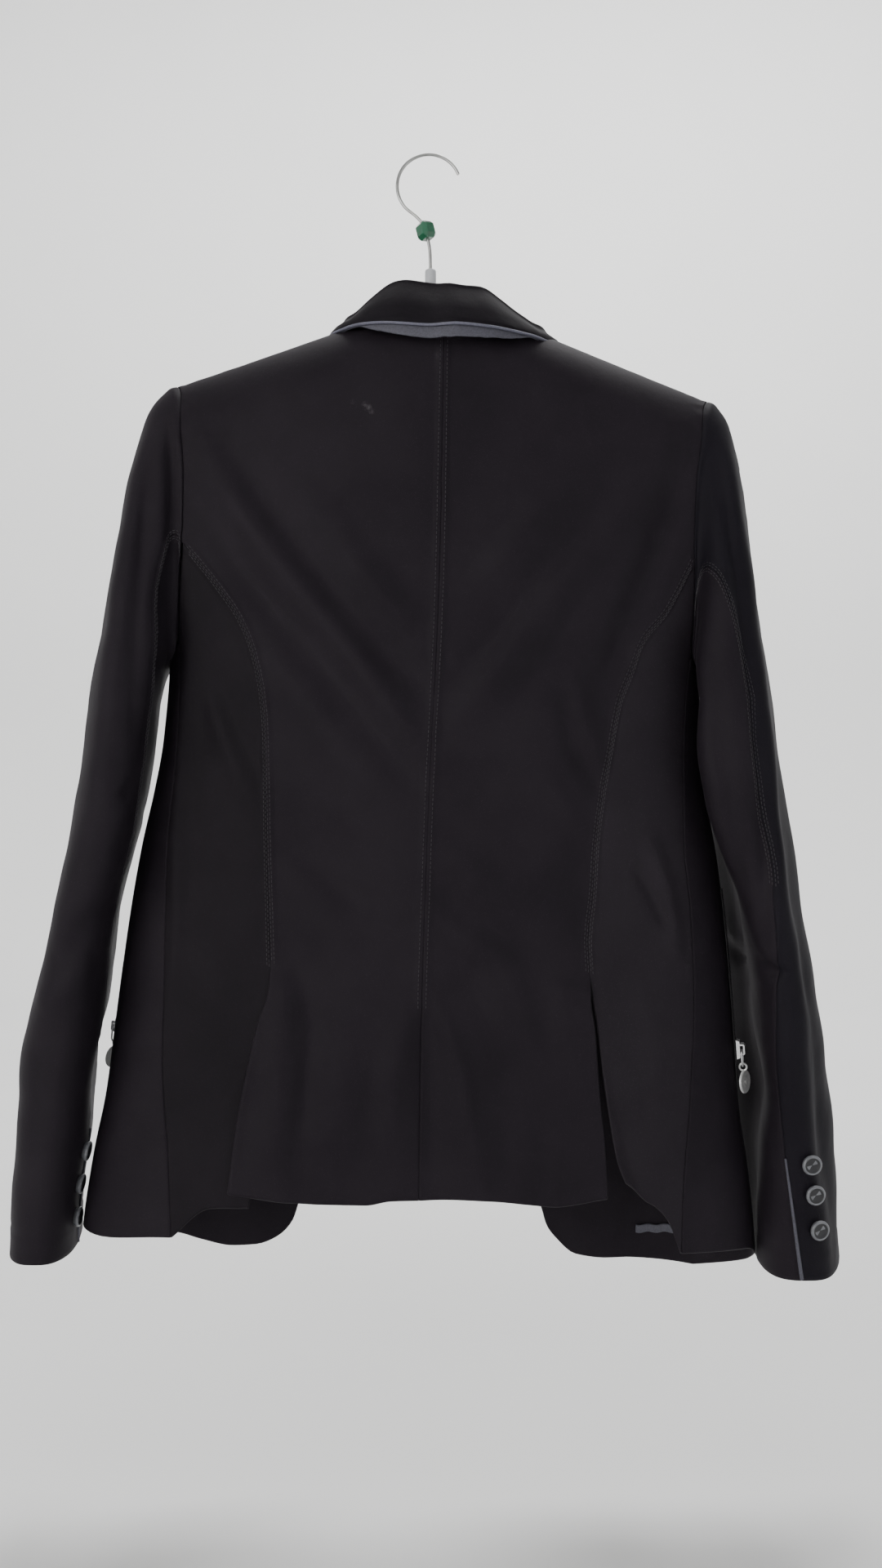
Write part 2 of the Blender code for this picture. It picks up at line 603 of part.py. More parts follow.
def side_seam(side):
    top, low = armhole_height(SIDE_JUNCTION), SIDE_HEM[side][-1].height
    seam = [armhole_place(SIDE_JUNCTION)]
    for n in range(1, SKIRT_ROWS + 1):
        z = mix(top, low, n / SKIRT_ROWS)
        seam.append((turn_at(read(SIDE_SEAM[side], "x", z), z), z))
    return seam


def overlap_layer(side):
    """The right front passes over the left one at the middle."""
    def layer(turn, height):
        x = read(BODY, "half_width", height) * math.copysign(
            abs(math.sin(math.radians(turn))) ** (2 / SQUARENESS), math.sin(math.radians(turn)))
        return side * OVERLAP * ease((OVERLAP_START - x) / OVERLAP_START)
    return layer


def front_border(side):
    """Rows of the line below the armhole where the two halves of the front's grid meet."""
    start = armhole_place(FRONT_JUNCTION)
    end = (FRONT_BORDER_TURN, FRONT_HEM[side][0].height)
    return [(mix(start[0], end[0], n / SKIRT_ROWS), mix(start[1], end[1], n / SKIRT_ROWS))
            for n in range(SKIRT_ROWS + 1)]


def front_panel(side):
    layer = overlap_layer(side)
    border = front_border(side)
    seam = side_seam(side)
    low = UNDERARM_HEM[side]
    turns = even(seam[-1][0], border[-1][0], 3)
    hem = [seam[-1], (turns[1], low[1]), (turns[2], low[2]), border[-1]]
    under = patch(lambda u: armhole_place(mix(SIDE_JUNCTION, FRONT_JUNCTION, u)),
                  lambda u: through(hem, u), seam, border, even(0.0, 1.0, UNDER_SLEEVE_COLUMNS))

    ways = [360 - (360 - FRONT_JUNCTION) * n / ARMHOLE_ROWS for n in range(ARMHOLE_ROWS + 1)]
    left = [armhole_place(way) for way in ways] + border[1:]
    edge_low = FRONT_HEM[side][-1]
    right = []
    for point in left:
        z = mix(shoulder_line(NECK_X), edge_low.height, (point[1] - left[0][1]) / (left[-1][1] - left[0][1]))
        right.append((180 - turn_at(read(FRONT_EDGE, "x", z), z), z))
    corner = [(180 - turn_at(row.x, row.height), row.height) for row in FRONT_HEM[side]]
    corner[0] = border[-1]

    def top(u):
        x = mix(TIP_X, NECK_X, u)
        return (left[0] if u == 0 else right[0] if u == 1
                else (180 - turn_at(x, shoulder_line(x)), shoulder_line(x)))

    chest = patch(top, lambda u: through(corner, u), left, right, even(0.0, 1.0, SHOULDER_COLUMNS))
    blocks = []
    for grid, edges in ((under, ("left",)), (chest, ("top",))):
        points, normals = sheet_points(grid, side, layer)
        draw_in(points, edges)
        blocks.append((hung(points), hung_normals(normals)))
    return blocks


def arm_ring(height, side, way):
    """Point of a sleeve ring: way 0 at the body side, 90 towards the back, 180 outside."""
    arm = ARMS[side]
    outer, inner = read(arm, "outer", height), read(arm, "inner", height)
    middle, depth = read(arm, "middle", height), read(arm, "depth", height)
    cos, sin = math.cos(math.radians(way)), math.sin(math.radians(way))
    power = 2 / ARM_SQUARENESS
    across = math.copysign(abs(cos) ** power, -cos)
    back = math.copysign(abs(sin) ** power, sin)
    half = (outer - inner) / 2
    x = (outer + inner) / 2 + half * across - read(arm, "lean", height) * back
    if way % 360 < 90:
        x -= read(arm, "lobe", height) * math.sin(math.radians(2 * way))
    x -= read(arm, "tuck", height) * max(0.0, -back) * (1 - across) / 2
    y = middle - depth * back
    if back > 0:
        lift = arm_fold(side, height, across)
        y -= lift * min(1.0, back * 1.5)
    return Vector((side * x, y, height))


def arm_fold(side, height, across):
    lift = 0.0
    for fold in ARM_FOLDS[side]:
        t = (height - fold.z0) / (fold.z1 - fold.z0)
        off = across - mix(fold.u0, fold.u1, t)
        fade = ease((t + 0.2) / 0.4) * ease((1.2 - t) / 0.4)
        lift += fold.lift * fade * math.exp(-(off / fold.half) ** 2)
    return lift


def armhole_way(way):
    """Way round the armhole for a way round the sleeve's ring."""
    return (180 - way) % 360


CAP_ROWS = 9
ARM_ROWS = 14


def sleeve_point(side, way, row):
    """Point of the sleeve: the cap's rows curve out of the armhole, then the rings follow."""
    if row >= CAP_ROWS:
        cuff = ARMS[side][0].height
        return arm_ring(mix(ARM_START, cuff, (row - CAP_ROWS) / ARM_ROWS), side, way)
    turn, height = armhole_place(armhole_way(way))
    gap = (ARMHOLE_GAP + TIP_GAP * max(0.0, -math.cos(math.radians(way))) ** 4
           + FRONT_GAP * max(0.0, -math.sin(math.radians(way))))
    start = hang(body_point(turn, height, side)) + Vector((side * gap, 0, 0))
    end = arm_ring(ARM_START, side, way)
    reach = (end - start).length
    out = start + Vector((side, 0, -0.4)) * reach * CAP_OUT[side]
    above = end + Vector((0, 0, reach * CAP_DOWN))
    above.x = end.x - side * reach * CAP_ROUND
    t = (row / CAP_ROWS) ** 1.25
    s = 1 - t
    return start * s ** 3 + out * 3 * s * s * t + above * 3 * s * t * t + end * t ** 3


def sleeve_normal(side, way, row):
    step = 2.0
    along = sleeve_point(side, way + step, row) - sleeve_point(side, way - step, row)
    upper, lower = max(0.0, row - 0.3), min(CAP_ROWS + ARM_ROWS, row + 0.3)
    down = sleeve_point(side, way, lower) - sleeve_point(side, way, upper)
    normal = (down.cross(along) * side).normalized()
    if row == 0:
        if normal.x * side > 0:
            normal.x = 0.0
        normal.normalize()
    return normal


def seam_way(side, row):
    """Way of the elbow seam, on the back of the sleeve, turned towards the body."""
    cuff = ARMS[side][0].height
    height = mix(ARM_START, cuff, max(0.0, row - CAP_ROWS) / ARM_ROWS)
    way = 90 - read(ARMS[side], "seam", height)
    return mix(CAP_SEAM[side], way, min(1.0, row / CAP_ROWS))


FRONT_SEAM_WAY = 318.0
CAP_SEAM = {LEFT: 75.0, RIGHT: 56.0}
TOP_COLUMNS, UNDER_COLUMNS = 11, 7


def sleeve(side, word, cloth):
    """Top sleeve outside, under sleeve towards the body, with seams at elbow and front."""
    rows = range(CAP_ROWS + ARM_ROWS + 1)
    for part, columns in (("top", TOP_COLUMNS), ("under", UNDER_COLUMNS)):
        points, normals = [], []
        for row in rows:
            elbow = seam_way(side, row)
            start, end = (elbow, FRONT_SEAM_WAY) if part == "top" else (FRONT_SEAM_WAY - 360, elbow)
            ways = even(start, end, columns)
            points.append([sleeve_point(side, way, row) for way in ways])
            normals.append([sleeve_normal(side, way, row) for way in ways])
        draw_in(points, ("left", "right"), SLEEVE_SEAM_GAP / 2)
        wall("sleeve_%s_%s" % (part, word), [(points, normals)], cloth)


def neckline(way, side):
    """Place of the collar's seam: way 0 at the centre back, 1 at the front end of the collar."""
    turning = 0.58
    if way <= turning:
        angle = math.radians(90 * way / turning)
        x = NECK_X * math.sin(angle)
        z = neck_line(x)
        return turn_at(x, z), z
    z = mix(shoulder_line(NECK_X), COLLAR_END, (way - turning) / (1 - turning))
    return 180 - turn_at(read(FRONT_EDGE, "x", z), z), z


COLLAR_STEPS = 12


def collar_section(way, side):
    """Points across the collar at a way, from the base of the stand over the fold to the edge."""
    turn, z = neckline(way, side)
    layer = overlap_layer(side)
    base = body_point(turn, z, side, layer(turn, z))
    near, far = neckline(max(0.0, way - 0.02), side), neckline(min(1.0, way + 0.02), side)
    along = body_point(*far, side) - body_point(*near, side)
    level = Vector((along.x, along.y, 0.0))
    out = level.cross(Vector((0, 0, 1))).normalized() * side
    lies = ease((way - COLLAR_TURNS) / (COLLAR_LIES - COLLAR_TURNS))
    if lies > 0:
        out = out.lerp(body_normal(turn, z, side, layer), lies).normalized()
    up = along.cross(out).normalized() * -side
    fold_out = read(COLLAR, "fold_out", way)
    fold_up = read(COLLAR, "fold_left" if side == LEFT else "fold_right", way)
    edge_out, edge_up = read(COLLAR, "edge_out", way), read(COLLAR, "edge_up", way)
    stand, radius = -COLLAR_INSET, FOLD_RADIUS
    centre_out, centre_up = fold_out + 0.0010, fold_up - radius
    base_up = COLLAR_BASE + COLLAR_CLEAR * ease(way / COLLAR_TURNS)
    path = [(stand, base_up), (mix(stand, centre_out - radius, 0.6), mix(base_up, centre_up, 0.5))]
    for angle in (180, 135, 90, 45, 0):
        a = math.radians(angle)
        path.append((centre_out + radius * math.cos(a), centre_up + radius * math.sin(a)))
    edge = (edge_out, edge_up)
    last = path[-1]
    path.append((mix(last[0], edge[0], 0.55) + 0.001, mix(last[1], edge[1], 0.5)))
    path.append(edge)
    return [base + out * o + up * u for o, u in path]


def collar_grid():
    """Collar from its left end round the back to its right end."""
    rows = []
    for n in range(-COLLAR_STEPS, COLLAR_STEPS + 1):
        side = LEFT if n < 0 else RIGHT
        rows.append(collar_section(abs(n) / COLLAR_STEPS, side))
    return rows


def grid_normals(points):
    """Normals of a grid of points from its own lines."""
    normals = []
    rows, columns = len(points), len(points[0])
    for i in range(rows):
        line = []
        for j in range(columns):
            along = points[min(rows - 1, i + 1)][j] - points[max(0, i - 1)][j]
            across = points[i][min(columns - 1, j + 1)] - points[i][max(0, j - 1)]
            line.append(across.cross(along).normalized())
        normals.append(line)
    return normals


def collar(black, grey):
    points = collar_grid()
    normals = grid_normals(points)
    wall("collar_top", [(hung(points), hung_normals(normals))], black)
    depth = CLOTH + SEAM_GAP
    lining = [[p - n * depth for p, n in zip(*row)] for row in zip(points, normals)]
    wall("collar_under", [(hung(lining), hung_normals(normals))], grey, TRIM)
    line = []
    for row, bent in zip(points, normals):
        down = (row[-1] - row[-2]).normalized()
        line.append(hang(row[-1] - bent[-1] * CLOTH / 2 + down * (PIPING_RADIUS + 2 * SEAM_GAP)))
    tube("collar_piping", line, PIPING_RADIUS, grey, 1)


def tube(name, points, radius, material, resolution=2, cyclic=False):
    """Round bar through points."""
    curve = bpy.data.curves.new(name, "CURVE")
    curve.dimensions = "3D"
    curve.bevel_depth = radius
    curve.bevel_resolution = resolution
    curve.use_fill_caps = not cyclic
    spline = curve.splines.new("POLY")
    spline.points.add(len(points) - 1)
    for place, point in zip(spline.points, points):
        place.co = (*point, 1.0)
    spline.use_cyclic_u = cyclic
    piece = bpy.data.objects.new(name, curve)
    curve.materials.append(material)
    jacket.objects.link(piece)
    return piece


LAPEL_ROWS = 9
Lapel = namedtuple("Lapel", "height x")
LAPEL_OUTER = [Lapel(-0.345, -0.012), Lapel(-0.330, 0.010), Lapel(-0.300, 0.046), Lapel(-0.270, 0.071),
               Lapel(-0.240, 0.087), Lapel(-0.215, 0.093)]
LAPEL_TOP, LAPEL_POINT, LAPEL_INSET = -0.2090, -0.2290, 0.003
LAPEL_GAP = 0.0006
LAPEL_END = {LEFT: 0.034, RIGHT: 0.002}
LAPEL_BULGE = 0.0030


def lapel(side, word, cloth):
    """Lapel that lies on the front, folded out at the roll line."""
    grid = []
    end = LAPEL_BREAK + LAPEL_END[side]
    for share in even(0.0, 1.0, LAPEL_ROWS):
        z_roll, z_outer = mix(LAPEL_TOP, end, share), mix(LAPEL_POINT, end, share)
        roll, outer = read(FRONT_EDGE, "x", z_roll), read(LAPEL_OUTER, "x", z_outer)
        row = []
        for u in even(0.0, 1.0, 4):
            x, z = mix(outer + LAPEL_INSET, roll, u), mix(z_outer, z_roll, u)
            row.append((180 - turn_at(x, z), z))
        grid.append(row)
    layer = overlap_layer(side)
    points, normals = sheet_points(grid, side, layer)
    for line, bent in zip(points, normals):
        for j, (point, normal) in enumerate(zip(line, bent)):
            arch = LAPEL_BULGE * math.sin(math.pi * j / 4)
            line[j] = point + normal * (CLOTH + LAPEL_GAP + arch)
    wall("lapel_" + word, [(hung(points), hung_normals(normals))], cloth)


def turned(name, profile, place, axis, material, steps=12):
    """Turned piece: profile of (radius, height) from top to bottom, set on a place along an axis."""
    mesh = bpy.data.meshes.new(name)
    bm = bmesh.new()
    line = [bm.verts.new((radius, 0, height)) for radius, height in profile]
    for a, b in zip(line, line[1:]):
        bm.edges.new((a, b))
    bm.to_mesh(mesh)
    bm.free()
    piece = add_object(name, mesh, material, smooth=False)
    screw = piece.modifiers.new("Turn", "SCREW")
    screw.steps = screw.render_steps = steps
    screw.use_merge_vertices = True
    screw.merge_threshold = 0.00001
    piece.matrix_world = (Matrix.Translation(place)
                          @ Vector((0, 0, 1)).rotation_difference(axis).to_matrix().to_4x4())
    return piece


def button(name, place, axis, radius, material):
    """Button with a raised rim and a dished middle."""
    profile = [(0.0, BUTTON_HEIGHT - BUTTON_DISH), (radius * 0.62, BUTTON_HEIGHT - BUTTON_DISH),
               (radius * 0.80, BUTTON_HEIGHT), (radius * 0.93, BUTTON_HEIGHT - 0.0003),
               (radius, BUTTON_HEIGHT - 0.0014), (radius * 0.80, 0.0), (0.0, 0.0)]
    return turned(name, profile, place + axis * SEAM_GAP, axis, material)


def cuff_trim(side, word, grey, button_colour):
    """Piping along the vent at the end of the elbow seam, and three buttons beside it."""
    cuff = ARMS[side][0].height
    sleeves = ("sleeve_top_" + word, "sleeve_under_" + word)
    line = []
    for height in even(cuff + 0.001, cuff + CUFF_VENT, 8):
        row = row_at(side, height)
        way = seam_way(side, row)
        place, normal = sleeve_point(side, way, row), sleeve_normal(side, way, row)
        rise = stand_off(sleeves, place, normal, PIPING_RADIUS)
        line.append(place + normal * (rise + PIPING_RADIUS + SEAM_GAP))
    tube("cuff_piping_" + word, line, PIPING_RADIUS, grey, 1)
    for n, height in enumerate(CUFF_BUTTON_HEIGHTS[side]):
        row = row_at(side, height)
        way = seam_way(side, row)
        start = sleeve_point(side, way, row)
        while (sleeve_point(side, way, row) - start).length < CUFF_BUTTON_OFFSET:
            way += 0.5
        place, normal = sleeve_point(side, way, row), sleeve_normal(side, way, row)
        rise = stand_off(sleeves, place, normal, BUTTON_RADIUS)
        button("cuff_button_%s_%d" % (word, n + 1), place + normal * rise, normal, BUTTON_RADIUS,
               button_colour)


def stand_off(names, place, normal, radius):
    """Height, along a normal, of the highest point of the named pieces within a radius of a place."""
    highest = 0.0
    across = normal.orthogonal()
    for name in names:
        tree = tree_of(name)
        for share in (0.0, 0.4, 0.7, 1.05):
            for n in range(12):
                spot = place + Matrix.Rotation(n * math.pi / 6, 3, normal) @ across * radius * share
                hit = tree.ray_cast(spot + normal * 0.01, -normal, 0.02)[0]
                if hit:
                    highest = max(highest, (hit - place).dot(normal))
    return highest


def tree_of(name):
    mesh = bpy.data.objects[name].data
    return BVHTree.FromPolygons([v.co for v in mesh.vertices], [p.vertices for p in mesh.polygons])


def row_at(side, height):
    cuff = ARMS[side][0].height
    return CAP_ROWS + ARM_ROWS * (height - ARM_START) / (cuff - ARM_START)


def front_buttons(button_colour):
    layer = overlap_layer(RIGHT)
    for n, height in enumerate(BUTTON_HEIGHTS):
        point = body_point(180, height, RIGHT, layer(180, height))
        normal = body_normal(180, height, RIGHT, layer)
        origin = hang((0, 0, 0))
        button("front_button_%d" % (n + 1), hang(point), hang(normal) - origin,
               FRONT_BUTTON_RADIUS, button_colour)


def zip_frame(side, height):
    """Place, outward, along and up directions on the body where the zip lies."""
    turn = ZIP_TURN[side]
    origin = hang((0, 0, 0))
    place = hang(body_point(turn, height, side))
    out = hang(body_normal(turn, height, side)) - origin
    along = Vector((0, 0, 1)).cross(out).normalized()
    return place, out, along, out.cross(along)


def zip_tape(side, word, material):
    """Tape and closed teeth as one narrow strip on the front."""
    points, normals = [], []
    for height in even(ZIP_TOP, ZIP_BOTTOM, 8):
        place, out, along, up = zip_frame(side, height)
        line = [place + along * TAPE_WIDTH * u for u in even(-0.5, 0.5, 4)]
        points.append(line if side == RIGHT else line[::-1])
        normals.append([out] * 5)
    lifted = seat_on("front_" + word, points, normals, TRIM + TAPE_GAP)
    wall("zip_tape_" + word, [(lifted, normals)], material, TRIM)


def seat_on(name, points, normals, gap):
    """Move points along their normals until they stand a gap off a piece already made."""
    tree = tree_of(name)
    seated = []
    for line, bent in zip(points, normals):
        row = []
        for point, normal in zip(line, bent):
            hit = tree.ray_cast(point + normal * 0.02, -normal)[0]
            row.append((hit or point) + normal * gap)
        seated.append(row)
    return seated


def outline_solid(name, outlines, thickness, place, axes, material):
    """Flat outline with holes, extruded along the third axis."""
    curve = bpy.data.curves.new(name, "CURVE")
    curve.dimensions = "2D"
    curve.fill_mode = "BOTH"
    curve.extrude = thickness / 2
    for outline in outlines:
        spline = curve.splines.new("POLY")
        spline.points.add(len(outline) - 1)
        for corner, (a, b) in zip(spline.points, outline):
            corner.co = (a, b, 0, 1)
        spline.use_cyclic_u = True
    piece = bpy.data.objects.new(name, curve)
    curve.materials.append(material)
    jacket.objects.link(piece)
    solid = solid_of(piece)
    turn = Matrix([axes[0], axes[1], axes[2]]).transposed().to_4x4()
    solid.matrix_world = Matrix.Translation(place) @ turn


def zip_pull(side, word, steel):
    """Slider with its bridge, the ring that swings in the bridge, and the medallion on the ring."""
    place, out, along, up = zip_frame(side, SLIDER_HEIGHT)
    seat = place + out * (stand_off(["zip_tape_" + word], place, out, SLIDER_LENGTH / 2) + SEAM_GAP)
    base, high = SLIDER_BASE, SLIDER_BASE + BRIDGE_HEIGHT
    half, arch, wire = SLIDER_LENGTH / 2, BRIDGE_LENGTH / 2, BRIDGE_WIRE
    body = [(0, -half), (base, -half + 0.001), (base, -arch), (high - 0.001, -arch), (high, -arch + 0.001),
            (high, arch - 0.001), (high - 0.001, arch), (base, arch), (base, half - 0.001), (0, half)]
    inside, under = arch - wire, high - wire
    hole = [(base, -inside), (under, -inside), (under, inside), (base, inside)]
    outline_solid("zip_slider_" + word, [body, hole], SLIDER_WIDTH, seat, (out, up, along), steel)

    pivot = seat + out * (base + (BRIDGE_HEIGHT - wire) / 2) - up * (arch - wire - RING_WIRE - 0.0003)
    width = RING_WIDTH / 2
    ring = [pivot - along * width, pivot + along * width]
    drop = RING_LENGTH - 2 * RING_WIRE
    for angle in range(0, 181, 30):
        a = math.radians(angle)
        ring.append(pivot + along * width * math.cos(a) - up * (drop - 0.004 + 0.004 * math.sin(a)))
    tube("zip_ring_" + word, ring, RING_WIRE, steel, 1, cyclic=True)

    low = pivot - up * drop
    link_centre = low - up * (LINK_RADIUS - LINK_WIRE - RING_WIRE - 0.0003)
    link = [link_centre + out * LINK_RADIUS * math.cos(a) + up * LINK_RADIUS * math.sin(a)
            for a in (math.radians(n * 36) for n in range(10))]
    pull = solid_of(tube("zip_drop_" + word, link, LINK_WIRE, steel, 1, cyclic=True))
    disc_centre = link_centre - up * (LINK_RADIUS + DISC_RADIUS - 0.0004)
    profile = [(0.0, DISC_THICKNESS * 0.35), (DISC_RADIUS * 0.72, DISC_THICKNESS * 0.35),
               (DISC_RADIUS * 0.84, DISC_THICKNESS / 2), (DISC_RADIUS, DISC_THICKNESS * 0.3),
               (DISC_RADIUS, -DISC_THICKNESS * 0.3), (DISC_RADIUS * 0.84, -DISC_THICKNESS / 2),
               (0.0, -DISC_THICKNESS / 2)]
    disc = turned("medallion_cutter_" + word, profile, disc_centre, out, steel, 18)
    joined = pull.modifiers.new("Join", "BOOLEAN")
    joined.operation = "UNION"
    joined.object = disc
    jacket.objects.unlink(disc)
    cutters.objects.link(disc)
    disc.hide_render = True
    disc.display_type = "WIRE"
    return pivot, low, along


def solid_of(piece):
    """Closed mesh in place of a curve."""
    name, material = piece.name, piece.data.materials[0]
    bpy.context.view_layer.update()
    mesh = bpy.data.meshes.new_from_object(piece.evaluated_get(bpy.context.evaluated_depsgraph_get()))
    bpy.data.objects.remove(piece)
    bm = bmesh.new()
    bm.from_mesh(mesh)
    bmesh.ops.remove_doubles(bm, verts=bm.verts, dist=0.00001)
    bm.to_mesh(mesh)
    bm.free()
    return add_object(name, mesh, material, smooth=False)


def inner_strip(grey):
    """Pale strip on the inside of the right front, near its hem."""
    grid = [[(180 - turn_at(x, STRIP_HEIGHT), STRIP_HEIGHT + dz) for x in even(STRIP_START, STRIP_END, 4)]
            for dz in (STRIP_WIDTH / 2, -STRIP_WIDTH / 2)]
    points, normals = sheet_points(grid, RIGHT, overlap_layer(RIGHT))
    for line, bent in zip(points, normals):
        for j, (point, normal) in enumerate(zip(line, bent)):
            line[j] = point - normal * (CLOTH + 2 * SEAM_GAP)
    wall("inner_strip", [(hung(points), hung_normals(normals))], grey, TRIM)


def hanger(steel, plastic, green):
    """Wire hook with a faceted bead, ferrule, and arms just under the shoulders."""
    centre = Vector((0, 0, -HOOK_RADIUS + HOOK_WIRE))
    hook = [centre + Vector((math.cos(math.radians(a)), 0, math.sin(math.radians(a)))) * HOOK_RADIUS
            for a in range(22, 236, 12)]
    hook += [Vector((-0.0098, 0, -0.0448)), Vector((-0.0052, 0, -0.0500)), Vector((-0.0024, 0, -0.0560)),
             Vector((-0.0004, 0, -0.0640)), Vector((0.0008, 0, -0.0720)), Vector((0.0012, 0, -0.0850))]
    tube("hanger_hook", hook, HOOK_WIRE, steel, 1)

    bead_mesh = bpy.data.meshes.new("hanger_bead")
    bm = bmesh.new()
    bmesh.ops.create_cube(bm, size=BEAD_SIDE)
    bmesh.ops.bevel(bm, geom=bm.edges[:], offset=0.0028, segments=1, affect="EDGES")
    bm.to_mesh(bead_mesh)
    bm.free()
    bead = add_object("hanger_bead", bead_mesh, green, smooth=False)
    slant = Vector((0.0020, 0, -0.0080)).normalized()
    bead.matrix_world = (Matrix.Translation((-0.0024, 0, -0.0560))
                         @ slant.rotation_difference(Vector((0, 0, -1))).inverted().to_matrix().to_4x4()
                         @ Matrix.Rotation(math.radians(38), 4, "Z"))
    bored = bead.modifiers.new("Bore", "BOOLEAN")
    bored.operation = "DIFFERENCE"
    bored.object = bore_for(hook, "bead_bore")

    arms = [(-row.x, row) for row in HANGER[::-1]] + [(HANGER_MIDDLE.x, HANGER_MIDDLE)]
    arms += [(row.x, row) for row in HANGER]
    rings = []
    for x, row in arms:
        centre_z = shoulder_line(x) - CLOTH - SEAM_GAP - row.lower
        ring = []
        for n in range(8):
            a = math.radians(n * 45 + 22.5)
            ring.append(hang((x, ARMS_HALF_WIDTH * math.cos(a), centre_z + row.half_height * math.sin(a))))
        rings.append(ring)
    mesh = bpy.data.meshes.new("hanger_arms")
    bm = bmesh.new()
    lines = [[bm.verts.new(p) for p in ring] for ring in rings]
    for a, b in zip(lines, lines[1:]):
        for n in range(8):
            m = (n + 1) % 8
            bm.faces.new((a[n], a[m], b[m], b[n]))
    bm.faces.new(lines[0])
    bm.faces.new(lines[-1])
    bmesh.ops.recalc_face_normals(bm, faces=bm.faces)
    bm.to_mesh(mesh)
    bm.free()
    add_object("hanger_arms", mesh, plastic, smooth=False)

    profile = [(0.0, 0.0), (FERRULE_RADIUS - 0.0008, 0.0), (FERRULE_RADIUS, -0.0010),
               (FERRULE_RADIUS, -FERRULE_LENGTH), (0.0, -FERRULE_LENGTH)]
    turned("hanger_ferrule", profile, Vector((0.0012, 0, FERRULE_TOP)), Vector((0, 0, 1)), plastic)


def bore_for(points, name):
    """Cutter a little wider than a wire."""
    cutter = solid_of(tube(name, points, HOOK_WIRE + SEAM_GAP, steel_colour, 2))
    jacket.objects.unlink(cutter)
    cutters.objects.link(cutter)
    cutter.hide_render = True
    cutter.display_type = "WIRE"
    return cutter


for old in list(bpy.data.objects):
    bpy.data.objects.remove(old)
jacket = bpy.data.collections.new("Riding jacket")
cutters = bpy.data.collections.new("Cutters")
bpy.context.scene.collection.children.link(jacket)
bpy.context.scene.collection.children.link(cutters)

black_cloth = colour("Black softshell", (0.017, 0.014, 0.017), 0.75)
grey_cloth = colour("Pale grey trim", (0.20, 0.20, 0.25), 0.7)
button_colour = colour("Grey button", (0.10, 0.10, 0.11), 0.4)
steel_colour = colour("Steel", (0.60, 0.60, 0.62), 0.25, 1.0)
plastic_colour = colour("Hanger grey", (0.45, 0.46, 0.48), 0.5)
bead_colour = colour("Green bead", (0.02, 0.11, 0.05), 0.3)

for side, word in SIDES:
    wall("back_" + word, [back_panel(side)], black_cloth)
    wall("side_back_" + word, [side_panel(side)], black_cloth)
    wall("front_" + word, front_panel(side), black_cloth)
    sleeve(side, word, black_cloth)
    lapel(side, word, black_cloth)
    cuff_trim(side, word, grey_cloth, button_colour)
    zip_tape(side, word, black_cloth)
    zip_pull(side, word, steel_colour)
collar(black_cloth, grey_cloth)
front_buttons(button_colour)
inner_strip(grey_cloth)
hanger(steel_colour, plastic_colour, bead_colour)
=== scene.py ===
"""Riding jacket that hangs on a wire hanger: cloth, seams, trims and metal around its solids.

The cloth follows the same surface as the solids: rings of the body, with a turn round it (0 at the
centre back, 90 at the side, 180 at the centre front) and a height, hung a little askew.
"""
import math
from collections import namedtuple

import bmesh
import bpy
import numpy as np
from mathutils import Matrix, Vector


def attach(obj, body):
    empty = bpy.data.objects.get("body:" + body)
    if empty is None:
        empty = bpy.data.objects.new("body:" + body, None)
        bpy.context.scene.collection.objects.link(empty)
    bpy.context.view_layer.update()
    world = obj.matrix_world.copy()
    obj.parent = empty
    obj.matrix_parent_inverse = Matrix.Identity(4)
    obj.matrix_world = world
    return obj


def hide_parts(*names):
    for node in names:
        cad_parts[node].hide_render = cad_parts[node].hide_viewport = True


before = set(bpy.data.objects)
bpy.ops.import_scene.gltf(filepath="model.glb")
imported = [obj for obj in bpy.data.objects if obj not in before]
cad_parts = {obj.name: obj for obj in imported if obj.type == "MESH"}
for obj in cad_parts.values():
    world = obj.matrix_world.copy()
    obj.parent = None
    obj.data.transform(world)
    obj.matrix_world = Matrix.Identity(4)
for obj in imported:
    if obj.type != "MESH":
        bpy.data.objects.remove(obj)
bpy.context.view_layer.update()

LEFT, RIGHT = -1, 1
SIDES = ((LEFT, "left"), (RIGHT, "right"))

# Cloth and seams
CLOTH = 0.0016
SEAM_GAP = 0.0003
TRIM = 0.0012

# How the jacket hangs
TILT = 0.028
TILT_HEIGHT = -0.110
CENTRE_X = 0.012

# Rings of the body: half width, and depth of the back and of the front
Ring = namedtuple("Ring", "height half_width back front")
BODY = [
    Ring(-0.840, 0.2520, 0.060, 0.058),
    Ring(-0.800, 0.2495, 0.060, 0.057),
    Ring(-0.750, 0.2435, 0.058, 0.055),
    Ring(-0.700, 0.2350, 0.055, 0.052),
    Ring(-0.650, 0.230, 0.052, 0.049),
    Ring(-0.610, 0.226, 0.050, 0.047),
    Ring(-0.560, 0.220, 0.049, 0.046),
    Ring(-0.520, 0.214, 0.050, 0.046),
    Ring(-0.480, 0.206, 0.051, 0.047),
    Ring(-0.440, 0.200, 0.052, 0.048),
    Ring(-0.385, 0.197, 0.053, 0.050),
    Ring(-0.340, 0.212, 0.053, 0.050),
    Ring(-0.300, 0.225, 0.052, 0.048),
    Ring(-0.200, 0.245, 0.050, 0.044),
    Ring(-0.100, 0.250, 0.048, 0.042),
]
SQUARENESS = 2.4

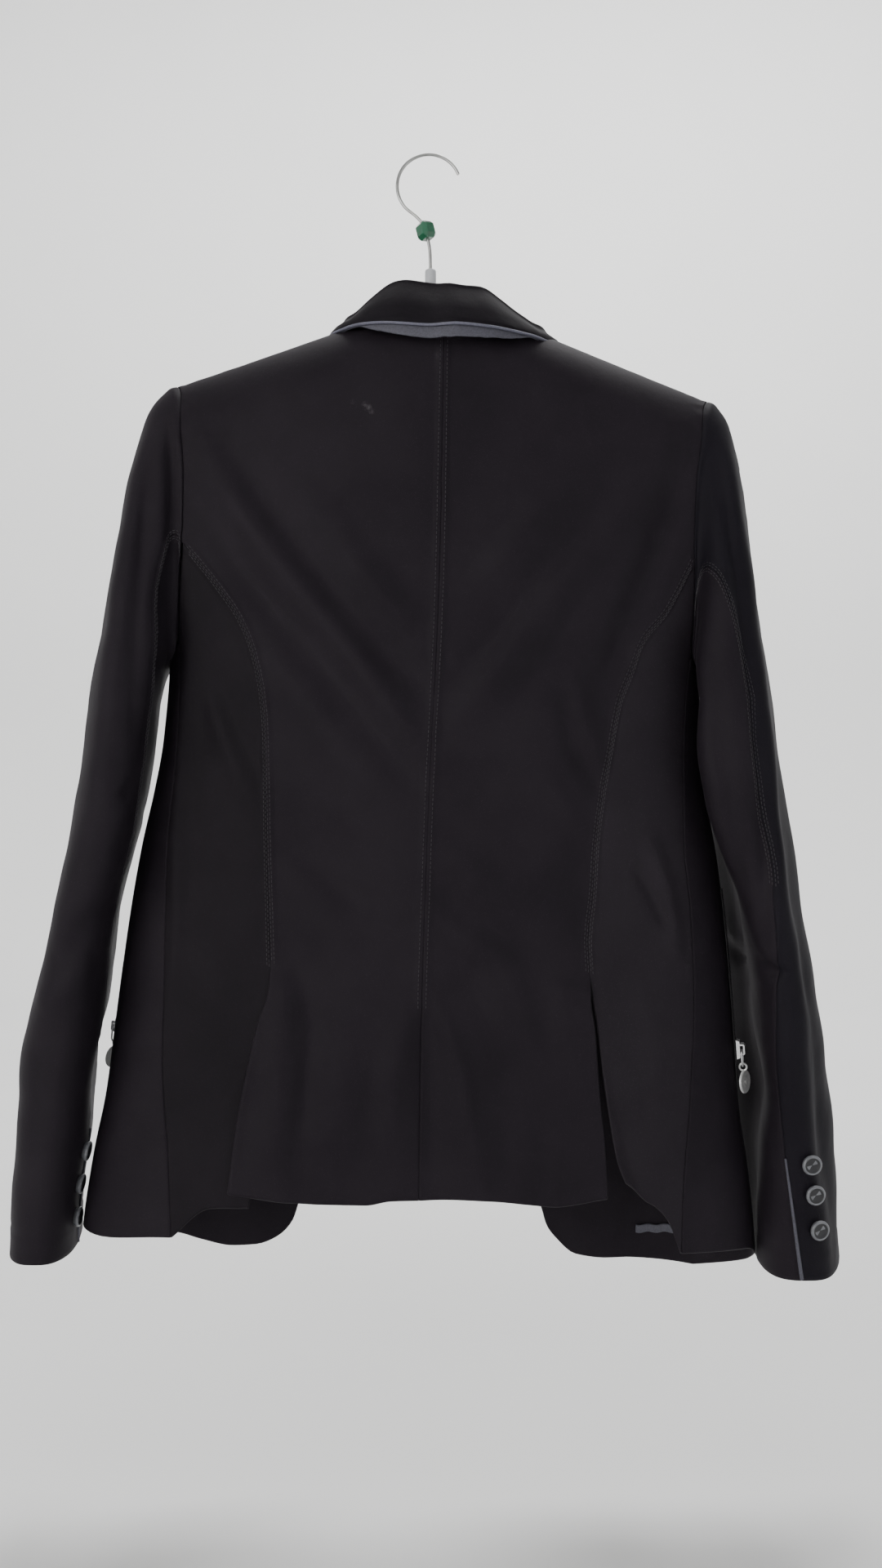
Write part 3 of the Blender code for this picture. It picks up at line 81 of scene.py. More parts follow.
# Shoulders, neck and armholes
NECK_X = 0.078
NECK_BACK = -0.150
TIP_X = 0.198
SHOULDER_AT_CENTRE = -0.1072
SHOULDER_SLOPE = 0.363
SHOULDER_ROLL = 0.045
SHOULDER_DROP = 0.150
NECK_DEPTH = 0.045
TIP_DEPTH = 0.030
ARMHOLE_MIDDLE = -0.282
ARMHOLE_HALF = 0.103
BACK_JUNCTION = 100.0
SIDE_JUNCTION = 150.0
FRONT_JUNCTION = 225.0

# The armhole on the back half: turn round the armhole from the shoulder, turn round the body
Armhole = namedtuple("Armhole", "way turn")
ARMHOLE = [
    Armhole(0, 49.7), Armhole(30, 47.5), Armhole(60, 47.4), Armhole(90, 50.0),
    Armhole(120, 57.5), Armhole(150, 68.5), Armhole(165, 78.0), Armhole(180, 90.0),
]

# Seams of the back, as the distance from the middle at each height
Seam = namedtuple("Seam", "height x")
CENTRE_BACK = [Seam(-0.770, 0.000), Seam(-0.620, -0.002), Seam(-0.490, -0.001), Seam(-0.330, 0.002),
               Seam(-0.150, 0.001)]
PRINCESS = {
    LEFT: [Seam(-0.602, 0.110), Seam(-0.530, 0.114), Seam(-0.466, 0.117), Seam(-0.431, 0.1186),
           Seam(-0.407, 0.1216), Seam(-0.380, 0.128), Seam(-0.354, 0.1395), Seam(-0.330, 0.157),
           Seam(-0.300, 0.183)],
    RIGHT: [Seam(-0.602, 0.1165), Seam(-0.575, 0.1145), Seam(-0.542, 0.117), Seam(-0.508, 0.118),
            Seam(-0.464, 0.123), Seam(-0.436, 0.127), Seam(-0.408, 0.1317), Seam(-0.383, 0.141),
            Seam(-0.361, 0.149), Seam(-0.340, 0.165), Seam(-0.300, 0.185)],
}
VENT_TOP = -0.602
FLAP_EDGE = {
    LEFT: [Seam(-0.770, 0.135), Seam(-0.713, 0.130), Seam(-0.669, 0.123), Seam(-0.640, 0.117),
           Seam(-0.618, 0.1105), Seam(-0.602, 0.110)],
    RIGHT: [Seam(-0.770, 0.1325), Seam(-0.721, 0.129), Seam(-0.688, 0.125), Seam(-0.640, 0.1205),
            Seam(-0.618, 0.117), Seam(-0.602, 0.1165)],
}
VENT_EDGE = {
    LEFT: [Seam(-0.770, 0.120), Seam(-0.700, 0.115), Seam(-0.660, 0.112), Seam(-0.602, 0.110)],
    RIGHT: [Seam(-0.745, 0.144), Seam(-0.730, 0.138), Seam(-0.688, 0.130), Seam(-0.637, 0.123),
            Seam(-0.602, 0.1165)],
}
SIDE_SEAM = {
    LEFT: [Seam(-0.800, 0.175), Seam(-0.739, 0.180), Seam(-0.677, 0.187), Seam(-0.635, 0.188),
           Seam(-0.533, 0.190), Seam(-0.430, 0.185), Seam(-0.370, 0.186)],
    RIGHT: [Seam(-0.800, 0.187), Seam(-0.748, 0.188), Seam(-0.692, 0.192), Seam(-0.625, 0.194),
            Seam(-0.556, 0.190), Seam(-0.508, 0.184), Seam(-0.430, 0.182), Seam(-0.370, 0.186)],
}

# Hem lines: distance from the middle and height
Hem = namedtuple("Hem", "x height")
BACK_HEM = {
    LEFT: [Hem(0.000, -0.760), Hem(0.020, -0.7610), Hem(0.038, -0.7645), Hem(0.073, -0.7650),
           Hem(0.135, -0.7600)],
    RIGHT: [Hem(0.000, -0.760), Hem(0.020, -0.7590), Hem(0.054, -0.7595), Hem(0.090, -0.7620),
            Hem(0.1325, -0.7560)],
}
SIDE_HEM = {
    LEFT: [Hem(0.120, -0.770), Hem(0.147, -0.772), Hem(0.175, -0.7950)],
    RIGHT: [Hem(0.144, -0.745), Hem(0.150, -0.7495), Hem(0.160, -0.7590), Hem(0.169, -0.7645),
            Hem(0.178, -0.7750), Hem(0.187, -0.7970)],
}
UNDERARM_HEM = {LEFT: (-0.7950, -0.8020, -0.8010, -0.8180),
                RIGHT: (-0.7970, -0.8000, -0.8200, -0.8350)}
FRONT_HEM = {
    LEFT: [Hem(0.210, -0.8180), Hem(0.187, -0.8245), Hem(0.170, -0.8305), Hem(0.146, -0.8356),
           Hem(0.129, -0.8350), Hem(0.112, -0.8285), Hem(0.101, -0.8160), Hem(0.097, -0.8030)],
    RIGHT: [Hem(0.210, -0.8350), Hem(0.190, -0.8345), Hem(0.167, -0.8350), Hem(0.141, -0.8375),
            Hem(0.124, -0.8360), Hem(0.109, -0.8250), Hem(0.101, -0.8150), Hem(0.097, -0.8030)],
}
FRONT_BORDER_TURN = 125.0

# Front edge: roll line of the lapel, button stand, cutaway
LAPEL_BREAK = -0.345
FRONT_EDGE = [Seam(-0.803, 0.097), Seam(-0.750, 0.079), Seam(-0.700, 0.059), Seam(-0.650, 0.038),
              Seam(-0.600, 0.018), Seam(-0.560, 0.003), Seam(-0.530, -0.008), Seam(-0.500, -0.014),
              Seam(-0.450, -0.015), Seam(-0.380, -0.015), Seam(-0.345, -0.015), Seam(-0.300, 0.010),
              Seam(-0.230, 0.042), Seam(-0.175, 0.066), Seam(-0.1355, 0.078)]
OVERLAP = 0.0026
OVERLAP_START = 0.045
BUTTON_HEIGHTS = (-0.375, -0.445, -0.515)

# Vent flap of the back, which lies over the side
FLAP_LIFT = 0.0034
FLAP_RAMP = 0.012
FLAP_START, FLAP_END = 0.080, 0.100

# Sleeve rings: outer and inner side, middle and half depth, how far the elbow seam turns inwards,
# how far the back of the ring leans towards the body, how far its corner laps over the body behind,
# and how far its corner at the front is tucked towards the body
Arm = namedtuple("Arm", "height outer inner middle depth seam lean lobe tuck")
ARMS = {
    LEFT: [
        Arm(-0.812, 0.3125, 0.2640, 0.010, 0.052, 84, 0.006, 0.0, 0.0),
        Arm(-0.770, 0.3105, 0.2610, 0.008, 0.053, 84, 0.007, 0.0, 0.0),
        Arm(-0.737, 0.3080, 0.2555, 0.006, 0.055, 83, 0.008, 0.0, 0.0),
        Arm(-0.705, 0.3050, 0.2505, 0.004, 0.056, 81, 0.008, 0.0, 0.0),
        Arm(-0.664, 0.3010, 0.2440, 0.001, 0.058, 78, 0.009, 0.0, 0.0),
        Arm(-0.623, 0.2910, 0.2385, -0.002, 0.060, 74, 0.009, 0.0, 0.0),
        Arm(-0.585, 0.2815, 0.2335, -0.004, 0.061, 68, 0.009, 0.0, 0.0),
        Arm(-0.550, 0.2740, 0.2275, -0.005, 0.062, 66, 0.010, 0.0, 0.0),
        Arm(-0.521, 0.2680, 0.2200, -0.004, 0.063, 64, 0.011, 0.0, 0.0),
        Arm(-0.480, 0.2605, 0.2110, -0.003, 0.064, 60, 0.012, 0.0, 0.0),
        Arm(-0.440, 0.2550, 0.2045, -0.002, 0.064, 55, 0.012, 0.0, 0.0),
        Arm(-0.408, 0.2515, 0.2010, -0.001, 0.063, 50, 0.012, 0.0, 0.0),
    ],
    RIGHT: [
        Arm(-0.822, 0.3090, 0.2470, 0.008, 0.052, 2, 0.010, 0.0, 0.030),
        Arm(-0.770, 0.3070, 0.2460, 0.006, 0.053, 11, 0.010, 0.0, 0.033),
        Arm(-0.722, 0.3030, 0.2445, 0.004, 0.055, 20, 0.010, 0.0, 0.034),
        Arm(-0.663, 0.2960, 0.2425, 0.000, 0.057, 30, 0.009, 0.0, 0.036),
        Arm(-0.620, 0.2880, 0.2390, -0.002, 0.059, 24, 0.008, 0.0, 0.034),
        Arm(-0.588, 0.2820, 0.2340, -0.004, 0.060, 12, 0.008, 0.0, 0.031),
        Arm(-0.550, 0.2755, 0.2270, -0.005, 0.061, 2, 0.010, 0.002, 0.027),
        Arm(-0.521, 0.2730, 0.2225, -0.004, 0.062, -4, 0.013, 0.008, 0.027),
        Arm(-0.480, 0.2680, 0.2175, -0.003, 0.063, -8, 0.017, 0.0145, 0.020),
        Arm(-0.440, 0.2625, 0.2135, -0.002, 0.064, -10, 0.018, 0.015, 0.009),
        Arm(-0.408, 0.2590, 0.2120, -0.001, 0.063, -12, 0.017, 0.012, 0.0),
    ],
}
ARM_SQUARENESS = 2.6
ARM_START = -0.408
ARMHOLE_GAP, TIP_GAP, FRONT_GAP = 0.0005, 0.0008, 0.0012
CAP_OUT = {LEFT: 0.145, RIGHT: 0.115}
CAP_DOWN, CAP_ROUND = 0.72, 0.125

# Collar: distance along the neckline, height and width of its parts
CollarAt = namedtuple("CollarAt", "way fold_out fold_left fold_right edge_out edge_up")
COLLAR = [
    CollarAt(0.00, -0.003, 0.0378, 0.0378, 0.0145, 0.0035),
    CollarAt(0.08, -0.003, 0.0390, 0.0352, 0.0145, 0.0035),
    CollarAt(0.15, -0.003, 0.0392, 0.0345, 0.0142, 0.0034),
    CollarAt(0.22, -0.004, 0.0368, 0.0262, 0.0125, 0.0030),
    CollarAt(0.30, -0.004, 0.0250, 0.0165, 0.0095, 0.0020),
    CollarAt(0.40, -0.005, 0.0125, 0.0090, 0.0065, -0.0005),
    CollarAt(0.58, -0.004, 0.0090, 0.0068, 0.0055, -0.0060),
    CollarAt(0.70, 0.002, 0.0105, 0.0105, 0.0085, -0.0160),
    CollarAt(0.85, 0.002, 0.0108, 0.0108, 0.0092, -0.0270),
    CollarAt(1.00, 0.002, 0.0105, 0.0105, 0.0092, -0.0340),
]
COLLAR_TURNS, COLLAR_LIES = 0.40, 0.72
COLLAR_END = -0.205
COLLAR_BASE, COLLAR_CLEAR = 0.0008, 0.0022
COLLAR_INSET, FOLD_RADIUS = 0.0040, 0.0045
PIPING_RADIUS = 0.0010

# Cuff buttons and front buttons
BUTTON_RADIUS = 0.0076
BUTTON_HEIGHT = 0.0042
BUTTON_DISH = 0.0012
FRONT_BUTTON_RADIUS = 0.0100
CUFF_BUTTON_HEIGHTS = {LEFT: (-0.739, -0.764, -0.789), RIGHT: (-0.739, -0.7615, -0.787)}
CUFF_VENT = 0.088

# Zip of the side pocket
ZIP_TURN = {LEFT: 99.0, RIGHT: 84.0}
ZIP_TOP, ZIP_BOTTOM = -0.540, -0.682
TAPE_WIDTH = 0.010
RING_WIRE = 0.0007
RING_LENGTH, RING_WIDTH = 0.0120, 0.0095
LINK_WIRE, LINK_RADIUS = 0.0007, 0.0026
DISC_RADIUS, DISC_THICKNESS = 0.0085, 0.0020

# Inner strip near the right front's hem
STRIP_HEIGHT, STRIP_WIDTH = -0.810, 0.007
STRIP_START, STRIP_END = 0.170, 0.205

# Hanger
HOOK_WIRE = 0.0012
HOOK_RADIUS = 0.0237
BEAD_SIDE = 0.0125
FERRULE_RADIUS, FERRULE_LENGTH, FERRULE_TOP = 0.0042, 0.0216, -0.0853
ARMS_HALF_WIDTH = 0.0060
HangerArm = namedtuple("HangerArm", "x lower half_height")
HANGER = [HangerArm(0.030, 0.0120, 0.0070), HangerArm(0.072, 0.0130, 0.0070),
          HangerArm(0.105, 0.0082, 0.0070), HangerArm(0.150, 0.0076, 0.0065),
          HangerArm(0.182, 0.0066, 0.0050)]
HANGER_MIDDLE = HangerArm(-0.0108, 0.0040, 0.0105)

# Folds of the back in the jacket's own frame: height of the ridge, half width, and its line
Fold = namedtuple("Fold", "name lift half line")
FOLDS = [
    Fold("left drag ridge", 0.0054, 0.0125,
         [(-.178, -.218), (-.146, -.268), (-.111, -.314), (-.063, -.369),
                                             (-.005, -.447)]),
    Fold("left upper hollow", -0.0045, 0.0110,
         [(-.160, -.228), (-.122, -.276), (-.092, -.3135), (-.044, -.370),
                                                (-.006, -.409)]),
    Fold("left lower hollow", -0.0040, 0.0110,
         [(-.168, -.280), (-.129, -.333), (-.071, -.397), (-.013, -.466)]),
    Fold("left second ridge", 0.0022, 0.0110,
         [(-.100, -.255), (-.066, -.300), (-.030, -.345), (-.006, -.372)]),
    Fold("left faint ridge", 0.0018, 0.0080, [(-.123, -.375), (-.070, -.435), (-.051, -.462)]),
    Fold("left faint hollow", -0.0012, 0.0070, [(-.112, -.395), (-.075, -.438), (-.052, -.470)]),
    Fold("right drag ridge", 0.0042, 0.0140, [(.164, -.214), (.138, -.258), (.104, -.303), (.054, -.375),
                                              (.010, -.432)]),
    Fold("right upper hollow", -0.0030, 0.0110,
         [(.122, -.262), (.1035, -.285), (.072, -.323), (.031, -.378),
                                                 (.006, -.414)]),
    Fold("right second ridge", 0.0016, 0.0100,
         [(.094, -.246), (.065, -.280), (.036, -.318), (.008, -.352)]),
    Fold("right faint hollow", -0.0016, 0.0080, [(.060, -.268), (.034, -.300), (.010, -.330)]),
    Fold("right armhole hollow", -0.0052, 0.0105,
         [(.174, -.228), (.164, -.2785), (.146, -.326), (.1205, -.401)]),
    Fold("right lower hollow", -0.0016, 0.0120, [(.112, -.330), (.080, -.378), (.044, -.430)]),
    Fold("right waist ridge", 0.0026, 0.0065, [(.096, -.383), (.108, -.420), (.120, -.450)]),
    Fold("right waist hollow", -0.0026, 0.0060, [(.103, -.432), (.1226, -.476)]),
    Fold("right low ridge", 0.0020, 0.0060, [(.088, -.470), (.112, -.505)]),
    Fold("right pull hollow", -0.0020, 0.0060, [(.092, -.402), (.099, -.440), (.114, -.466)]),
    Fold("waist hollow", -0.0034, 0.0090, [(.002, -.536), (.024, -.555), (.055, -.576), (.086, -.590)]),
    Fold("waist upper ridge", 0.0018, 0.0090, [(.010, -.515), (.036, -.534), (.070, -.556)]),
    Fold("left waist crease", -0.0014, 0.0080, [(-.108, -.505), (-.060, -.545), (-.020, -.575)]),
    Fold("left waist ridge", 0.0014, 0.0090, [(-.104, -.520), (-.070, -.560), (-.050, -.600)]),
    Fold("pleat ridge", 0.0036, 0.0068, [(.004, -.612), (.0125, -.632), (.022, -.652), (.031, -.676),
                                         (.034, -.705), (.044, -.738)]),
    Fold("pleat left wall", 0.0018, 0.0080,
         [(-.004, -.618), (-.014, -.645), (-.021, -.680), (-.023, -.730)]),
    Fold("pleat hollow", -0.0048, 0.0105, [(.000, -.622), (.002, -.655), (.006, -.700), (.008, -.752)]),
    Fold("skirt ridge", 0.0022, 0.0085, [(.052, -.585), (.070, -.620), (.081, -.655), (.087, -.700)]),
    Fold("skirt hollow", -0.0022, 0.0090, [(.022, -.590), (.040, -.622), (.056, -.660), (.060, -.700)]),
    Fold("hem wave", 0.0016, 0.0090, [(.070, -.690), (.078, -.720), (.076, -.758)]),
    Fold("hem small wave", -0.0012, 0.0060, [(.052, -.700), (.060, -.728), (.056, -.760)]),
    Fold("left skirt ridge", 0.0016, 0.0130, [(-.046, -.606), (-.056, -.660), (-.060, -.735)]),
    Fold("left skirt hollow", -0.0010, 0.0090, [(-.034, -.640), (-.040, -.690), (-.040, -.750)]),
    Fold("vent flap step", -0.0030, 0.0062,
         [(-.096, -.596), (-.088, -.618), (-.0795, -.641), (-.0825, -.682),
                                             (-.087, -.733)]),
    Fold("vent flap face", 0.0026, 0.0120,
         [(-.106, -.612), (-.102, -.645), (-.104, -.690), (-.112, -.745)]),
    Fold("left side ridge", 0.0024, 0.0068,
         [(-.178, -.329), (-.181, -.390), (-.185, -.437), (-.185, -.513),
                                             (-.181, -.579), (-.184, -.640)]),
    Fold("left side hollow", -0.0016, 0.0080,
         [(-.164, -.340), (-.166, -.420), (-.170, -.500), (-.168, -.580)]),
    Fold("left diagonal ridge", 0.0026, 0.0065, [(-.166, -.4035), (-.146, -.448), (-.124, -.492)]),
    Fold("left diagonal hollow", -0.0022, 0.0070, [(-.154, -.396), (-.134, -.440), (-.122, -.472)]),
    Fold("right side crease", -0.0034, 0.0048, [(.1475, -.522), (.162, -.546), (.1756, -.570)]),
    Fold("right side ridge", 0.0030, 0.0060, [(.156, -.500), (.172, -.540), (.180, -.590)]),
    Fold("right side soft hollow", -0.0010, 0.0080, [(.136, -.600), (.150, -.640), (.160, -.700)]),
    Fold("right side soft ridge", 0.0010, 0.0080, [(.150, -.600), (.166, -.650), (.172, -.720)]),
]

# Folds of the fronts, seen from the front with the same distances from the middle
FRONT_FOLDS = [
    Fold("left chest ridge", 0.0040, 0.0130,
         [(-.170, -.225), (-.120, -.290), (-.070, -.345), (-.030, -.380)]),
    Fold("left chest hollow", -0.0030, 0.0110, [(-.158, -.262), (-.112, -.318), (-.060, -.372)]),
    Fold("right chest ridge", 0.0042, 0.0130,
         [(.168, -.222), (.126, -.284), (.074, -.340), (.026, -.378)]),
    Fold("right chest hollow", -0.0030, 0.0110, [(.156, -.266), (.108, -.322), (.050, -.378)]),
    Fold("left button drag", 0.0026, 0.0090, [(-.012, -.448), (-.070, -.470), (-.130, -.520)]),
    Fold("right button drag", 0.0026, 0.0090, [(.004, -.450), (.064, -.480), (.126, -.530)]),
    Fold("left low drag", -0.0024, 0.0100, [(-.010, -.516), (-.070, -.560), (-.130, -.640)]),
    Fold("right low drag", -0.0024, 0.0100, [(.010, -.516), (.074, -.570), (.126, -.650)]),
    Fold("left skirt wave", 0.0036, 0.0150, [(-.110, -.600), (-.130, -.690), (-.128, -.800)]),
    Fold("right skirt wave", 0.0036, 0.0150, [(.108, -.600), (.124, -.690), (.130, -.800)]),
]

# Creases of the sleeves, seen from behind, in world x and z
SLEEVE_FOLDS = {
    LEFT: [
        Fold("head ridge", 0.0030, 0.0055,
             [(-.1830, -.205), (-.1815, -.2166), (-.1750, -.2627), (-.1755, -.300)]),
        Fold("head outer ridge", 0.0030, 0.0060, [(-.1930, -.215), (-.1928, -.2257), (-.1915, -.270),
                                                  (-.1906, -.3178)]),
        Fold("head hollow", -0.0026, 0.0050, [(-.1870, -.212), (-.1850, -.250), (-.1835, -.310)]),
        Fold("long crease", -0.0042, 0.0065,
             [(-.2020, -.250), (-.2025, -.300), (-.2032, -.370), (-.2040, -.4525)]),
        Fold("underarm face", 0.0040, 0.0100, [(-.1930, -.352), (-.1925, -.400), (-.1945, -.450)]),
        Fold("underarm fold", -0.0040, 0.0045, [(-.2140, -.480), (-.2017, -.470), (-.1815, -.4500)]),
        Fold("upper arm ridge", 0.0026, 0.0095, [(-.2160, -.300), (-.2220, -.400), (-.2300, -.500)]),
        Fold("elbow crease", -0.0026, 0.0080, [(-.2320, -.560), (-.2480, -.585), (-.2700, -.592)]),
        Fold("elbow ridge", 0.0028, 0.0090, [(-.2360, -.595), (-.2560, -.618), (-.2760, -.622)]),
        Fold("forearm hollow", -0.0022, 0.0100, [(-.2700, -.650), (-.2760, -.700), (-.2860, -.760)]),
        Fold("forearm ridge", 0.0020, 0.0090, [(-.2580, -.650), (-.2660, -.710), (-.2740, -.770)]),
    ],
    RIGHT: [
        Fold("long crease", -0.0046, 0.0060,
             [(.2090, -.225), (.2112, -.2467), (.2160, -.3041), (.2205, -.3519),
                                              (.2256, -.4048), (.2285, -.4349), (.2313, -.469),
                                              (.2336, -.5236), (.2336, -.5873)]),
        Fold("outer hollow", -0.0090, 0.0170,
             [(.2420, -.250), (.2560, -.350), (.2640, -.450), (.2720, -.550),
                                               (.2850, -.650), (.2960, -.740), (.3010, -.820)]),
        Fold("outer ridge", 0.0030, 0.0085,
             [(.2200, -.225), (.2270, -.3041), (.2330, -.370), (.2400, -.4349),
                                             (.2450, -.5236), (.2460, -.590)]),
        Fold("inner ridge", 0.0022, 0.0080, [(.2000, -.245), (.2060, -.320), (.2130, -.390)]),
        Fold("underarm hollow", -0.0030, 0.0070,
             [(.1960, -.375), (.2030, -.430), (.2130, -.500), (.2200, -.560)]),
        Fold("elbow point", 0.0052, 0.0062, [(.2160, -.560), (.2260, -.578), (.2360, -.592)]),
        Fold("elbow crease", -0.0060, 0.0046, [(.2230, -.583), (.2330, -.600), (.2500, -.602)]),
        Fold("forearm ridge", 0.0024, 0.0110, [(.2500, -.620), (.2600, -.690), (.2700, -.760)]),
        Fold("forearm hollow", -0.0020, 0.0090, [(.2700, -.640), (.2780, -.700), (.2860, -.760)]),
    ],
}

SEAM_STEPS = (0.0, 0.0004, 0.0009, 0.0016, 0.0026, 0.0036, 0.0046, 0.0060, 0.0080)
EDGE_STEPS = (0.0, 0.0015, 0.0035, 0.0060)
STEP = 0.0040
GROOVE, GROOVE_WIDTH = 0.0007, 0.0010
RIDGE, RIDGE_WIDTH = 0.0007, 0.0040
STITCH_OFF, STITCH_PITCH, STITCH_LENGTH = 0.0030, 0.0032, 0.0023
CAP_ROWS, ARM_ROWS = 9, 14
SEAM_SWING = {LEFT: 20.0, RIGHT: 6.0}
FRONT_SEAM_WAY = 318.0
CAP_SEAM = {LEFT: 75.0, RIGHT: 56.0}


def read(rows, name, key):
    """Values of a column at keys, on a smooth curve through the rows (first column is the key)."""
    rows = sorted(rows, key=lambda row: row[0])
    keys = np.array([row[0] for row in rows], float)
    values = np.array([getattr(row, name) for row in rows], float)
    span = np.diff(keys)
    slope = np.diff(values) / span
    product = slope[:-1] * slope[1:]
    total = np.where(product > 0, slope[:-1] + slope[1:], 1.0)
    tangent = np.concatenate([slope[:1], np.where(product > 0, 2 * product / total, 0.0), slope[-1:]])
    key = np.asarray(key, float)
    i = np.clip(np.searchsorted(keys, key, side="right") - 1, 0, len(span) - 1)
    t = np.clip((key - keys[i]) / span[i], 0.0, 1.0)
    return ((2 * t ** 3 - 3 * t ** 2 + 1) * values[i] + (t ** 3 - 2 * t ** 2 + t) * tangent[i] * span[i]
            + (3 * t ** 2 - 2 * t ** 3) * values[i + 1] + (t ** 3 - t ** 2) * tangent[i + 1] * span[i])


def ease(value):
    value = np.clip(value, 0.0, 1.0)
    return value * value * (3 - 2 * value)


def mix(a, b, t):
    return a + (b - a) * t


def hang(points):
    """Turn points of the upright jacket to the way it hangs."""
    cos, sin = math.cos(TILT), math.sin(TILT)
    x, z = points[..., 0] + CENTRE_X, points[..., 2] - TILT_HEIGHT
    return np.stack([x * cos + z * sin, points[..., 1], z * cos - x * sin + TILT_HEIGHT], axis=-1)


def shoulder_line(x):
    return SHOULDER_AT_CENTRE - SHOULDER_SLOPE * np.abs(x)


def neck_line(x):
    rise = shoulder_line(NECK_X) - NECK_BACK
    return NECK_BACK + rise * np.minimum(1.0, np.abs(x) / NECK_X) ** 2


def turn_at(x, height):
    share = np.asarray(x) / read(BODY, "half_width", height)
    share = np.sign(share) * np.minimum(1.0, np.abs(share)) ** (SQUARENESS / 2)
    return np.degrees(np.arcsin(share))


def along_line(x, z, line):
    """Share of a line's length and distance from it, for each place."""
    line = np.array(line, float)
    lengths = np.concatenate([[0.0], np.cumsum(np.hypot(*np.diff(line, axis=0).T))])
    best, share = np.full(np.shape(x), 9.0), np.zeros(np.shape(x))
    last = len(line) - 2
    for n, (a, b) in enumerate(zip(line, line[1:])):
        d = b - a
        t = ((x - a[0]) * d[0] + (z - a[1]) * d[1]) / d.dot(d)
        inside = np.clip(t, -9.0 if n == 0 else 0.0, 9.0 if n == last else 1.0)
        off = np.hypot(x - a[0] - inside * d[0], z - a[1] - inside * d[1])
        near = off < best
        best = np.where(near, off, best)
        share = np.where(near, (lengths[n] + inside * math.hypot(*d)) / lengths[-1], share)
    return share, best


def folds(table, x, z):
    lift = np.zeros(np.broadcast(x, z).shape)
    for fold in table:
        share, off = along_line(x, z, fold.line)
        fade = ease((share + 0.12) / 0.34) * ease((1.12 - share) / 0.34)
        lift += fold.lift * fade * np.exp(-(off / fold.half) ** 2)
    return lift


def waves(x, z, seed, height=0.00030):
    """Gentle unevenness of worn cloth."""
    rng = np.random.default_rng(seed)
    lift = np.zeros(np.broadcast(x, z).shape)
    for n in range(16):
        length = rng.uniform(0.022, 0.120)
        angle, phase = rng.uniform(0, math.pi), rng.uniform(0, 2 * math.pi)
        lift += height * length / 0.07 * np.sin(
            2 * math.pi * (x * math.cos(angle) + z * math.sin(angle)) / length + phase) / 2.2
    return lift


def body(turn, height, side, layer=0.0):
    """Points of the outer surface, before the jacket is hung; layer raises them off the middle."""
    turn, height = np.broadcast_arrays(np.asarray(turn, float), np.asarray(height, float))
    sin, cos = np.sin(np.radians(turn)), np.cos(np.radians(turn))
    power = 2 / SQUARENESS
    x = read(BODY, "half_width", height) * np.sign(sin) * np.abs(sin) ** power
    below = np.maximum(0.0, shoulder_line(x) - height)
    roll = np.sqrt(1 - (1 - np.minimum(1.0, below / SHOULDER_ROLL)) ** 2)
    at_shoulder = mix(NECK_DEPTH, TIP_DEPTH, np.minimum(1.0, np.abs(x) / TIP_X))
    full = np.where(cos > 0, read(BODY, "back", height), read(BODY, "front", height))
    deep = mix(at_shoulder, full, ease(below / SHOULDER_DROP)) * np.abs(cos) ** power * roll
    lift = np.where(cos > 0, folds(FOLDS, side * x, height), folds(FRONT_FOLDS, side * x, height))
    lift = lift + waves(side * x + np.where(cos > 0, 0.0, 3.0), height, 5)
    deep = deep + lift * np.minimum(1.0, np.abs(cos) * 1.6) * roll + layer
    return np.stack([side * x, np.where(cos > 0, -deep, deep), height], axis=-1)


def places(steps_start, steps_end, length, step=STEP):
    """Shares from 0 to 1 along a length: given steps at both ends and even steps between."""
    start, end = steps_start[-1], length - steps_end[-1]
    count = max(2, round((end - start) / step))
    middle = np.linspace(start, end, count + 1)[1:-1]
    return np.concatenate([steps_start, middle, length - np.array(steps_end)[::-1]]) / length


def patch(top, bottom, left, right, us, vs):
    """Grid of (turn, height) between four edges, each a function of a share of its length."""
    t, b = (np.stack(np.broadcast_arrays(*edge(us)), -1)[None] for edge in (top, bottom))
    l, r = (np.stack(np.broadcast_arrays(*edge(vs)), -1)[:, None] for edge in (left, right))
    u, v = us[None, :, None], vs[:, None, None]
    corner = mix(mix(t[:, :1], t[:, -1:], u), mix(b[:, :1], b[:, -1:], u), v)
    grid = mix(l, r, u) + mix(t, b, v) - corner
    return grid[..., 0], grid[..., 1]


def edge_distances(points):
    """Distance of each point of a grid from the left, right, top and bottom edge, along the cloth."""
    found = {}
    for axis, first, last in ((1, "left", "right"), (0, "top", "bottom")):
        steps = np.linalg.norm(np.diff(points, axis=axis), axis=-1)
        total = np.cumsum(steps, axis=axis)
        zero = np.zeros_like(np.take(total, [0], axis=axis))
        total = np.concatenate([zero, total], axis=axis)
        found[first] = total
        found[last] = np.take(total, [-1], axis=axis) - total
    return found


def seam(distance, along, ridge=RIDGE, strength=1.0, seed=1):
    """Lift beside a seam: a groove on the seam, a flat ridge beside it and small puckers."""
    groove = -GROOVE * np.clip(1 - distance / GROOVE_WIDTH, 0, 1) ** 2
    raised = ridge * (1 - ease((distance - RIDGE_WIDTH) / 0.0018))
    rng = np.random.default_rng(seed)
    pucker = sum(np.sin(2 * math.pi * along / length + rng.uniform(0, 6.3))
                 for length in (0.0063, 0.0087, 0.0131, 0.019))
    near = np.exp(-((distance - 0.003) / 0.0055) ** 2)
    return strength * (groove + raised + 0.00011 * pucker * near)


